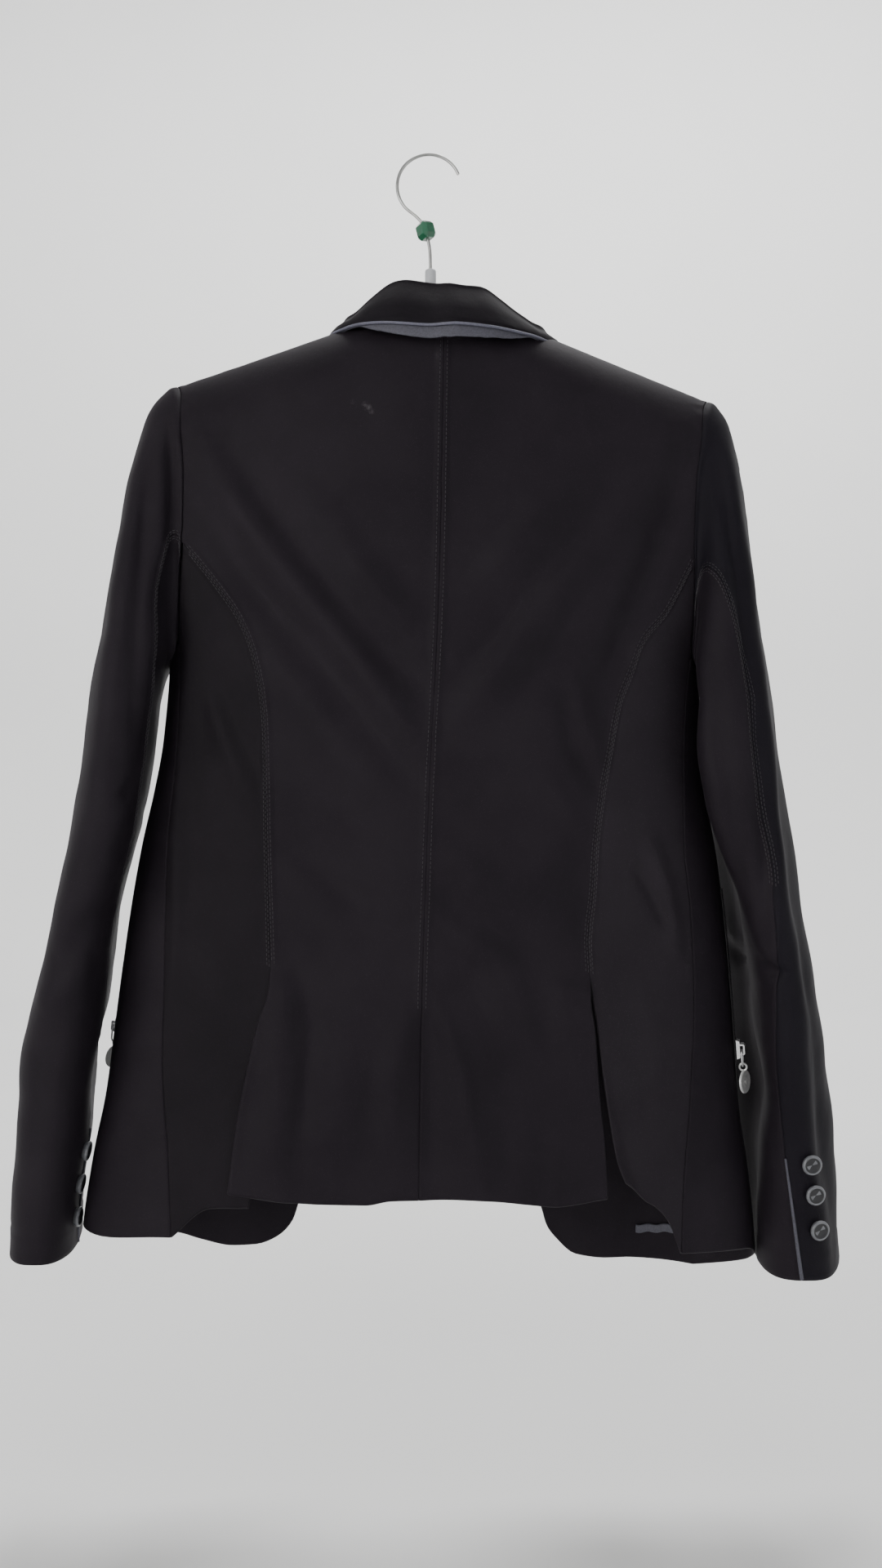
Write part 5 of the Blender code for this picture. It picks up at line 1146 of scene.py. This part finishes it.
def collar_rows(side):
    """Points across the collar at each way, from the base of the stand over the fold to the edge."""
    way = np.linspace(0.0, 1.0, COLLAR_WAYS)
    turn, z = neckline(way)
    base, normal = on_body(turn, z, side, overlap)
    base = body(turn, z, side, overlap(turn, z, side))
    near, far = (body(*neckline(np.clip(way + step, 0, 1)), side) for step in (-0.02, 0.02))
    along = far - near
    level = along * np.array([1.0, 1.0, 0.0])
    out = unit(np.cross(level, np.array([0.0, 0.0, 1.0]))) * side
    cos, sin = math.cos(TILT), math.sin(TILT)
    upright = np.stack([normal[..., 0] * cos - normal[..., 2] * sin, normal[..., 1],
                        normal[..., 0] * sin + normal[..., 2] * cos], -1)
    lies = ease((way - COLLAR_TURNS) / (COLLAR_LIES - COLLAR_TURNS))[:, None]
    out = unit(mix(out, upright, lies))
    up = -side * unit(np.cross(along, out))
    fold_out = read(COLLAR, "fold_out", way)
    fold_up = read(COLLAR, "fold_left" if side == LEFT else "fold_right", way)
    edge_out, edge_up = read(COLLAR, "edge_out", way), read(COLLAR, "edge_up", way)
    if side == RIGHT:
        edge_up = edge_up - COLLAR_SLANT * ease(way / 0.3) * (1 - ease((way - 0.5) / 0.2))
    stand, radius = -COLLAR_INSET, FOLD_RADIUS
    centre_out, centre_up = fold_out + 0.0010, fold_up - radius
    base_up = COLLAR_BASE + COLLAR_CLEAR * ease(way / COLLAR_TURNS)
    deeper = STAND_DEPTH * (1 - ease((way - 0.45) / 0.2))
    path = [(stand + 0 * way, base_up - deeper),
            (mix(stand, centre_out - radius, 0.6), mix(base_up, centre_up, 0.5))]
    for angle in (180, 135, 90, 45, 0):
        a = math.radians(angle)
        path.append((centre_out + radius * math.cos(a), centre_up + radius * math.sin(a)))
    last = path[-1]
    path.append((mix(last[0], edge_out, 0.55) + 0.001, mix(last[1], edge_up, 0.5)))
    path.append((edge_out, edge_up))
    return np.stack([hang(base + out * o[:, None] + up * u[:, None]) for o, u in path], axis=1)


def collar(black, grey, piping):
    left, right = collar_rows(LEFT), collar_rows(RIGHT)
    grid = np.concatenate([left[::-1], right[1:]])
    middle = COLLAR_WAYS - 1
    grid[middle] = (left[0] + right[0]) / 2
    for _ in range(2):
        grid[1:-1] = (grid[:-2] + 2 * grid[1:-1] + grid[2:]) / 4
    fine = np.array([smooth_line(row, 4) for row in grid])
    wave = waves(fine[..., 0] + fine[..., 1], fine[..., 2], 61, 0.0002)
    down, across = np.gradient(fine, axis=0), np.gradient(fine, axis=1)
    normals = unit(np.cross(across, down))
    fine = fine + normals * wave[..., None]
    far = edge_distances(fine)
    lift = seam(far["right"], fine[..., 0], 0.0004, 0.8, 64) * (far["right"] > 0.0005)
    fine = fine + normals * lift[..., None]
    lay("collar_top_cloth", [(fine, normals)], black, ["collar_top"])
    under = fine - normals * (CLOTH + 0.0002)
    ways = np.abs(np.linspace(-1, 1, len(fine)) - CRESCENT_AT)
    extend = CRESCENT * (1 - np.minimum(1.0, ways / CRESCENT_END) ** 2.2)
    last = unit(under[:, -1] - under[:, -2])
    tail = [under[:, -1] + (last * share + normals[:, -1] * -0.10 * share) * extend[:, None]
            + last * 0.0002 * n for n, share in enumerate((0.25, 0.5, 0.75, 1.0), 1)]
    under = np.concatenate([under] + [t[:, None] for t in tail], axis=1)
    bent = np.concatenate([normals] + [normals[:, -1:]] * 4, axis=1)
    lined = lay("collar_under_cloth", [(under, bent)], grey, ["collar_under"], TRIM)
    lined.data.materials.append(black)
    rows, columns = under.shape[:2]
    for face in lined.data.polygons:
        face.material_index = int(min(face.vertices) % (rows * columns) % columns < STAND_COLUMNS)
    edge = fine[:, -1] - normals[:, -1] * CLOTH * 0.35 + last * 0.0007
    rod("collar_piping_cord", edge, PIPING_RADIUS * 1.0, piping, "root", ["collar_piping"],
        upright=(0, 0, 1), sides=10)


Lapel = namedtuple("Lapel", "height x")
LAPEL_OUTER = [Lapel(-0.345, -0.012), Lapel(-0.330, 0.010), Lapel(-0.300, 0.046), Lapel(-0.270, 0.071),
               Lapel(-0.240, 0.087), Lapel(-0.215, 0.093)]
LAPEL_TOP, LAPEL_POINT, LAPEL_INSET = -0.2090, -0.2290, 0.003
LAPEL_GAP = 0.0006
LAPEL_END = {LEFT: 0.034, RIGHT: 0.002}


def lapel(side, word, cloth):
    """Lapel that lies on the front, folded out at the roll line."""
    end = LAPEL_BREAK + LAPEL_END[side]
    share, u = np.linspace(0, 1, 40)[:, None], np.linspace(0, 1, 26)[None]
    z_roll, z_outer = mix(LAPEL_TOP, end, share), mix(LAPEL_POINT, end, share)
    roll, outer = read(FRONT_EDGE, "x", z_roll), read(LAPEL_OUTER, "x", z_outer)
    x, z = mix(outer + LAPEL_INSET, roll, u), mix(z_outer, z_roll, u)
    points, normals = on_body(180 - turn_at(x, z), z, side, overlap)
    rise = CLOTH + LAPEL_GAP + 0.0030 * np.sin(math.pi * u) + 0.0004
    points = points + normals * (rise + 0 * share)[..., None]
    far = edge_distances(points)
    lift = seam(far["left"], z, 0.0004, 0.6, 71)
    points = points + normals * lift[..., None]
    lay("lapel_%s_cloth" % word, [(points, normals)], cloth, ["lapel_" + word])


def zip_line(side, word, tape, metal):
    heights = np.linspace(ZIP_TOP, ZIP_BOTTOM, 48)
    at, out = on_body(np.full(heights.shape, ZIP_TURN[side]), heights, side)
    along = unit(np.cross(np.array([0.0, 0.0, 1.0]), out))
    us = np.linspace(-0.5, 0.5, 9)
    points = at[:, None] + along[:, None] * (TAPE_WIDTH * us)[None, :, None] + out[:, None] * 0.0009
    dip = -0.0004 * np.exp(-(us / 0.10) ** 2)
    points = points + out[:, None] * dip[None, :, None]
    lay("zip_tape_%s_woven" % word, [(points, np.repeat(out[:, None], 9, 1))], tape, ["zip_tape_" + word],
        0.0006)
    vertices, faces = [], []
    count = 92
    for n in range(count):
        share = n / (count - 1) * (len(heights) - 1)
        i = min(len(heights) - 2, int(share))
        p = mix(at[i], at[i + 1], share - i)
        o, a = out[i], along[i]
        up = np.cross(o, a)
        sway = (1 if n % 2 else -1) * 0.0006
        base = len(vertices)
        for dx in (-0.0013, 0.0013):
            for dz in (-0.00055, 0.00055):
                for dy in (0.0, 0.0009):
                    vertices.append(p + a * (dx + sway) + up * dz + o * (0.0006 + dy * 0.7))
        for face in ((0, 1, 3, 2), (4, 6, 7, 5), (0, 4, 5, 1), (2, 3, 7, 6), (1, 5, 7, 3), (0, 2, 6, 4)):
            faces.append([base + k for k in face])
    mesh = bpy.data.meshes.new("zip_teeth_" + word)
    mesh.from_pydata([tuple(v) for v in vertices], [], faces)
    tidy(mesh)
    place("zip_teeth_" + word, mesh, metal)


MEDALLION_TURN, MEDALLION_OUT = {LEFT: 0, RIGHT: 20}, 0.0006
Pull = namedtuple("Pull", "pivot low out along")
PULLS = {
    LEFT: Pull((-0.23662, 0.01322, -0.65351), (-0.23766, 0.01378, -0.66405), (-0.873, 0.476, 0.111),
               (-0.4786, -0.878, 0.0)),
    RIGHT: Pull((0.23148, -0.00963, -0.66661), (0.23212, -0.00983, -0.67719), (0.951, -0.301, 0.064),
                (0.302, 0.9533, 0.0)),
}


def zip_pull(side, word, metal, medal):
    pull = PULLS[side]
    pivot, low = np.array(pull.pivot), np.array(pull.low)
    out, along = unit(np.array(pull.out)), unit(np.array(pull.along))
    if side == LEFT:
        along = -along
    up = unit(np.cross(out, along))
    if up[2] < 0:
        up = -up
    width, drop = RING_WIDTH / 2, RING_LENGTH - 2 * RING_WIRE
    ring = [pivot - along * width + up * 0.0, pivot, pivot + along * width]
    for angle in range(0, 181, 20):
        a = math.radians(angle)
        ring.append(pivot + along * width * math.cos(a) - up * (drop - 0.004 + 0.004 * math.sin(a)))
    line = smooth_line(ring + ring[:1], 4)[:-1]
    rod("zip_ring_%s_wire" % word, line, RING_WIRE, metal, "ring_" + word, ["zip_ring_" + word],
        sides=10, closed=True, upright=out)
    centre = low - up * (LINK_RADIUS - LINK_WIRE - RING_WIRE - 0.0003)
    link = [centre + out * LINK_RADIUS * math.cos(a) + up * LINK_RADIUS * math.sin(a)
            for a in np.linspace(0, 2 * math.pi, 24, endpoint=False)]
    eye = rod("link", link, LINK_WIRE, metal, "drop_" + word, sides=8, closed=True, upright=along)
    disc = centre - up * (LINK_RADIUS + DISC_RADIUS - 0.0004) + out * MEDALLION_OUT
    turn = Matrix.Rotation(math.radians(MEDALLION_TURN[side]), 3, Vector(up))
    facing = turn @ Vector(out) if (turn @ Vector(out)).y < out[1] else turn.inverted() @ Vector(out)
    r, t = DISC_RADIUS, DISC_THICKNESS
    profile = [(0.0, t * 0.62), (r * 0.10, t * 0.60), (r * 0.16, t * 0.36), (r * 0.30, t * 0.34),
               (r * 0.34, t * 0.44), (r * 0.40, t * 0.44), (r * 0.44, t * 0.34), (r * 0.70, t * 0.34),
               (r * 0.76, t * 0.46), (r * 0.86, t * 0.50), (r * 0.96, t * 0.42), (r, t * 0.25),
               (r, -t * 0.25), (r * 0.95, -t * 0.42), (r * 0.84, -t * 0.5), (0.0, -t * 0.5)]
    turned("zip_drop_%s_medallion" % word, profile, disc, facing, medal, "drop_" + word, ["zip_drop_" + word],
           48, join=eye)


def inner_strip(piping):
    x = np.linspace(STRIP_START, STRIP_END, 20)[None]
    z = (STRIP_HEIGHT + np.linspace(STRIP_WIDTH / 2, -STRIP_WIDTH / 2, 6) * 0.8)[:, None]
    z = z + 0.12 * (x - x.mean()) + 0.0006 * np.sin(x * 500)
    points, normals = on_body(180 - turn_at(x + 0 * z, z), z, RIGHT, overlap)
    points = points - normals * (CLOTH + 0.0006)
    lay("inner_strip_tape", [(points, normals)], grey, ["inner_strip"], TRIM)


def hanger(hook_metal, plastic, green):
    centre = np.array([0, 0, -HOOK_RADIUS + HOOK_WIRE])
    hook = [centre + np.array([math.cos(math.radians(a)), 0, math.sin(math.radians(a))]) * HOOK_RADIUS
            for a in range(22, 236, 12)]
    hook += [np.array(p) for p in ((-0.0098, 0, -0.0448), (-0.0052, 0, -0.0500), (-0.0024, 0, -0.0560),
                                   (-0.0004, 0, -0.0640), (0.0008, 0, -0.0720), (0.0012, 0, -0.0850))]
    rod("hanger_hook_wire", smooth_line(hook, 5), HOOK_WIRE, hook_metal, "root", ["hanger_hook"],
        sides=16)
    mesh = bpy.data.meshes.new("hanger_bead_cut")
    bm = bmesh.new()
    bmesh.ops.create_cube(bm, size=BEAD_SIDE)
    bmesh.ops.bevel(bm, geom=bm.edges[:], offset=0.0028, segments=1, affect="EDGES")
    bmesh.ops.bevel(bm, geom=bm.edges[:], offset=0.0002, segments=2, affect="EDGES")
    slant = Vector((0.0020, 0, -0.0080)).normalized()
    turn = slant.rotation_difference(Vector((0, 0, -1))).inverted().to_matrix().to_4x4()
    bm.transform(Matrix.Translation((-0.0024, 0, -0.0560)) @ turn @ Matrix.Rotation(math.radians(38), 4, "Z"))
    bm.to_mesh(mesh)
    bm.free()
    place("hanger_bead_cut", mesh, green, "root", ["hanger_bead"])
    arms = [(-row.x, row) for row in HANGER[::-1]] + [(HANGER_MIDDLE.x, HANGER_MIDDLE)]
    arms += [(row.x, row) for row in HANGER]
    line = [hang(np.array([x, 0.0, shoulder_line(x) - CLOTH - SEAM_GAP - row.lower])) for x, row in arms]
    sizes = smooth_line([(ARMS_HALF_WIDTH, row.half_height, 0.0) for _, row in arms], 5)[:, :2]
    rod("hanger_arms_bar", smooth_line(line, 5), sizes, plastic, "root", ["hanger_arms"],
        sides=20, upright=(0, 1, 0))
    r = FERRULE_RADIUS
    profile = rounded([(0.0, 0.0), (r - 0.0006, 0.0), (r, -0.0009), (r, -FERRULE_LENGTH),
                       (0.0, -FERRULE_LENGTH)])
    turned("hanger_ferrule_turned", profile, (0.0012, 0, FERRULE_TOP), (0, 0, 1), plastic, "root",
           ["hanger_ferrule"], 32)


def nodes_of(name):
    material = bpy.data.materials.new(name)
    material.use_nodes = True
    tree = material.node_tree
    return material, tree, tree.nodes["Principled BSDF"]


def add(tree, kind, settings=None, **values):
    node = tree.nodes.new(kind)
    for key, value in (settings or {}).items():
        setattr(node, key, value)
    for key, value in values.items():
        node.inputs[key.replace("_", " ")].default_value = value
    return node


def noise(tree, scale, detail=3.0, roughness=0.55):
    where = add(tree, "ShaderNodeTexCoord")
    node = add(tree, "ShaderNodeTexNoise", Scale=scale, Detail=detail, Roughness=roughness)
    tree.links.new(where.outputs["Object"], node.inputs["Vector"])
    return node


def blend(tree, factor, a, b):
    node = add(tree, "ShaderNodeMix", {"data_type": "RGBA"})
    for socket, value in ((node.inputs[0], factor), (node.inputs[6], a), (node.inputs[7], b)):
        if isinstance(value, (tuple, float)):
            socket.default_value = value
        else:
            tree.links.new(value, socket)
    return node.outputs[2]


def levels(tree, value, low, high):
    node = add(tree, "ShaderNodeMapRange", From_Min=low, From_Max=high)
    tree.links.new(value, node.inputs["Value"])
    return node.outputs["Result"]


# Pale marks on the cloth: place across and up, radius, strength
Mark = namedtuple("Mark", "x z radius strength")
Cut = namedtuple("Cut", "piece width length area held rests_on")

MARKS = [
    Mark(-0.0452, -0.1992, 0.0030, 0.30), Mark(-0.0428, -0.2016, 0.0034, 0.36),
    Mark(-0.0402, -0.2045, 0.0026, 0.30),
    Mark(-0.0540, -0.1972, 0.0024, 0.22), Mark(0.0068, -0.1640, 0.0040, 0.10),
    Mark(-0.1815, -0.7240, 0.0011, 1.00), Mark(-0.1600, -0.7600, 0.0011, 0.90),
    Mark(0.1270, -0.5340, 0.0012, 0.90),
]


def marks_of(tree):
    """Factor that is high on the pale marks."""
    where = add(tree, "ShaderNodeTexCoord")
    split = add(tree, "ShaderNodeSeparateXYZ")
    tree.links.new(where.outputs["Object"], split.inputs[0])
    flat = add(tree, "ShaderNodeCombineXYZ")
    tree.links.new(split.outputs["X"], flat.inputs["X"])
    tree.links.new(split.outputs["Z"], flat.inputs["Z"])
    grain = noise(tree, 420.0, 4.0, 0.7)
    total = None
    for mark in MARKS:
        off = add(tree, "ShaderNodeVectorMath", {"operation": "DISTANCE"})
        off.inputs[1].default_value = (mark.x, 0.0, mark.z)
        tree.links.new(flat.outputs[0], off.inputs[0])
        near = add(tree, "ShaderNodeMapRange", From_Min=mark.radius, From_Max=mark.radius * 0.2,
                   To_Max=mark.strength)
        tree.links.new(off.outputs["Value"], near.inputs["Value"])
        if total is None:
            total = near.outputs["Result"]
        else:
            both = add(tree, "ShaderNodeMath", {"operation": "MAXIMUM"})
            tree.links.new(total, both.inputs[0])
            tree.links.new(near.outputs["Result"], both.inputs[1])
            total = both.outputs[0]
    scaled = add(tree, "ShaderNodeMath", {"operation": "MULTIPLY"})
    tree.links.new(total, scaled.inputs[0])
    tree.links.new(levels(tree, grain.outputs["Fac"], 0.38, 0.66), scaled.inputs[1])
    return scaled.outputs[0]


def softshell(name, dark, light, marked=False):
    """Matt stretch cloth with a faint nap that catches the light."""
    material, tree, shader = nodes_of(name)
    broad = noise(tree, 14.0, 4.0, 0.6)
    base = blend(tree, levels(tree, broad.outputs["Fac"], 0.35, 0.65), (*dark, 1.0), (*light, 1.0))
    speck = noise(tree, 1500.0, 2.0, 0.6)
    base = blend(tree, levels(tree, speck.outputs["Fac"], 0.60, 0.86), base,
                 tuple(min(1.0, c * 3.0) for c in light) + (1.0,))
    if marked:
        base = blend(tree, marks_of(tree), base, (0.17, 0.16, 0.17, 1.0))
    tree.links.new(base, shader.inputs["Base Color"])
    shader.inputs["Roughness"].default_value = 0.66
    shader.inputs["Specular IOR Level"].default_value = 0.11
    shader.inputs["Sheen Weight"].default_value = 0.018
    shader.inputs["Sheen Roughness"].default_value = 0.35
    shader.inputs["Sheen Tint"].default_value = (0.80, 0.76, 0.80, 1.0)
    weave = noise(tree, 1900.0, 2.0, 0.5)
    bump = add(tree, "ShaderNodeBump", Strength=0.35, Distance=0.00012)
    tree.links.new(weave.outputs["Fac"], bump.inputs["Height"])
    soft = noise(tree, 160.0, 3.0, 0.6)
    second = add(tree, "ShaderNodeBump", Strength=0.30, Distance=0.0006)
    tree.links.new(soft.outputs["Fac"], second.inputs["Height"])
    tree.links.new(bump.outputs["Normal"], second.inputs["Normal"])
    tree.links.new(second.outputs["Normal"], shader.inputs["Normal"])
    return material


def plain(name, rgb, roughness, metallic=0.0, grain=40.0, spread=0.12, coat=0.0):
    """Plain finish with a little unevenness."""
    material, tree, shader = nodes_of(name)
    uneven = noise(tree, grain)
    dark = tuple(c * (1 - spread) for c in rgb) + (1.0,)
    light = tuple(min(1.0, c * (1 + spread)) for c in rgb) + (1.0,)
    tree.links.new(blend(tree, levels(tree, uneven.outputs["Fac"], 0.35, 0.65), dark, light),
                   shader.inputs["Base Color"])
    shader.inputs["Roughness"].default_value = roughness
    shader.inputs["Metallic"].default_value = metallic
    shader.inputs["Coat Weight"].default_value = coat
    return material


def backdrop(material):
    """Pale round floor that curves up into a wall on all sides, well clear of the jacket."""
    profile = [(r, 0.0) for r in (0.02, 0.6, 1.2, 1.8)]
    profile += [(WALL_AT - WALL_CURVE * (1 - math.sin(a)), WALL_CURVE * (1 - math.cos(a)))
                for a in np.linspace(0.0, math.pi / 2, 12)]
    profile += [(WALL_AT, 2.2), (WALL_AT, WALL_HEIGHT)]
    mesh = bpy.data.meshes.new("studio_sweep")
    count = 72
    turns = np.linspace(0, 2 * math.pi, count, endpoint=False)
    vertices = [(r * math.cos(a), r * math.sin(a), z + FLOOR) for r, z in profile for a in turns]
    faces = [[n * count + k, n * count + (k + 1) % count,
              (n + 1) * count + (k + 1) % count, (n + 1) * count + k]
             for n in range(len(profile) - 1) for k in range(count)]
    mesh.from_pydata(vertices, [], faces + [list(range(count))[::-1]])
    mesh.shade_smooth()
    mesh.materials.append(material)
    piece = bpy.data.objects.new("studio_sweep", mesh)
    bpy.context.scene.collection.objects.link(piece)


WALL_AT, WALL_CURVE, WALL_HEIGHT = 3.2, 0.9, 3.6
FLOOR = -1.02
Light = namedtuple("Light", "name at aim size power colour")
LIGHTS = [
    Light("soft_key", (-1.45, -1.65, -0.05), (0.0, 0.0, -0.55), 1.4, 27.0, (1.0, 0.985, 0.97)),
    Light("soft_top", (-0.3, -1.0, 1.5), (0.0, 0.1, -0.4), 1.8, 3.0, (1.0, 1.0, 1.0)),
    Light("soft_fill", (1.5, -1.6, -0.6), (0.1, 0.0, -0.6), 1.4, 8.0, (0.94, 0.96, 1.0)),
    Light("wall_wash", (0.3, 1.0, 2.0), (0.0, 3.2, -0.6), 1.8, 148.0, (1.0, 1.0, 1.0)),
    Light("front_wash", (0.0, -1.6, 2.1), (0.0, -3.2, -0.3), 1.6, 16.0, (1.0, 1.0, 1.0)),
]


def studio():
    for light in LIGHTS:
        lamp = bpy.data.lights.new(light.name, "AREA")
        lamp.shape, lamp.size, lamp.energy, lamp.color = "SQUARE", light.size, light.power, light.colour
        thing = bpy.data.objects.new(light.name, lamp)
        thing.location = light.at
        aim = Vector(light.aim) - Vector(light.at)
        thing.rotation_euler = aim.to_track_quat("-Z", "Y").to_euler()
        bpy.context.scene.collection.objects.link(thing)
        thing.visible_camera = False
    world = bpy.data.worlds.new("studio")
    bpy.context.scene.world = world
    world.use_nodes = True
    world.node_tree.nodes["Background"].inputs["Color"].default_value = (0.86, 0.88, 0.92, 1.0)
    world.node_tree.nodes["Background"].inputs["Strength"].default_value = 0.20
    camera = bpy.data.cameras.new("photo_view")
    camera.lens, camera.sensor_width, camera.sensor_fit = 28.03, 36.0, "AUTO"
    view = bpy.data.objects.new("photo_view", camera)
    view.location = (0.009, -0.912, -0.469)
    view.rotation_euler = (math.pi / 2, 0.0, 0.0)
    bpy.context.scene.collection.objects.link(view)
    bpy.context.scene.camera = view


black = softshell("black softshell", (0.0098, 0.0074, 0.0104), (0.0136, 0.0106, 0.0142), marked=True)
# Darker, bluer copy of the black cloth: painted shade for the right top sleeve, which hangs turned away from
# the light
painted_shade_sleeve = softshell("black softshell, right sleeve, painted shade", (0.0058, 0.0047, 0.0074), (0.0084, 0.0070, 0.0104))
# Darker and lighter copies of the black cloth for the side panels: painted shade on the left one, painted
# light on the right one
painted_shade_side = softshell("black softshell, left side, painted shade", (0.0068, 0.0052, 0.0072), (0.0100, 0.0078, 0.0104))
painted_light_side = softshell("black softshell, right side, painted light", (0.0140, 0.0112, 0.0146), (0.0184, 0.0150, 0.0190))
collar_black = softshell("black collar cloth", (0.0058, 0.0045, 0.0064), (0.0084, 0.0066, 0.0090))
grey = plain("grey trim", (0.060, 0.059, 0.076), 0.70, grain=900.0, spread=0.20)
piping = plain("pale piping", (0.105, 0.105, 0.142), 0.60, grain=900.0, spread=0.15)
tape = plain("zip tape", (0.012, 0.011, 0.013), 0.70, grain=1200.0, spread=0.30)
coil = plain("black coil", (0.018, 0.016, 0.019), 0.45, grain=900.0, spread=0.2)
thread = plain("black thread", (0.030, 0.027, 0.031), 0.55, grain=700.0, spread=0.20)
button_look = (plain("button rim", (0.125, 0.128, 0.138), 0.34, grain=300.0, spread=0.15, coat=0.2),
               plain("button middle", (0.012, 0.012, 0.014), 0.50, grain=300.0, spread=0.15))
chrome = plain("chrome", (0.78, 0.78, 0.79), 0.24, 0.60, grain=200.0, spread=0.06)
medal = plain("polished medallion", (0.86, 0.86, 0.85), 0.30, 0.35, grain=400.0, spread=0.08)
hook_metal = plain("hook steel", (0.42, 0.42, 0.41), 0.30, 1.0, grain=160.0, spread=0.12)
hanger_grey = plain("hanger grey", (0.52, 0.53, 0.55), 0.42, grain=60.0, spread=0.06)
green = plain("green bead", (0.012, 0.105, 0.050), 0.16, grain=120.0, spread=0.20, coat=0.6)
paper = plain("pale paper", (0.72, 0.72, 0.715), 0.85, grain=2.0, spread=0.01)

for side, word in SIDES:
    lines = list(back_panel(side, word, black))
    # Side panels get the painted shade copy on the left and the painted light copy on the right
    lines += list(side_panel(side, word, painted_shade_side if side == LEFT else painted_light_side))
    stitches("body_stitches_" + word, lines, thread)
    front_panel(side, word, black)
    # The right top sleeve gets the darker copy of the cloth: painted shade
    cloths = {"top": painted_shade_sleeve if side == RIGHT else black, "under": black}
    stitches("sleeve_stitches_" + word, list(sleeve(side, word, cloths)), thread)
    cuff_trim(side, word, piping, button_look)
    lapel(side, word, black)
    zip_line(side, word, tape, coil)
    zip_pull(side, word, chrome, medal)
    node = bpy.data.objects["zip_slider_" + word]
    for holder in node.material_slots:
        holder.material = chrome
collar(collar_black, grey, piping)
for n, height in enumerate(BUTTON_HEIGHTS):
    at, axis = on_body(np.array([180.0]), np.array([height]), RIGHT, overlap)
    button("front_button_%d" % (n + 1), at[0], axis[0], FRONT_BUTTON_RADIUS, button_look)
inner_strip(piping)
hanger(hook_metal, hanger_grey, green)
backdrop(paper)
studio()
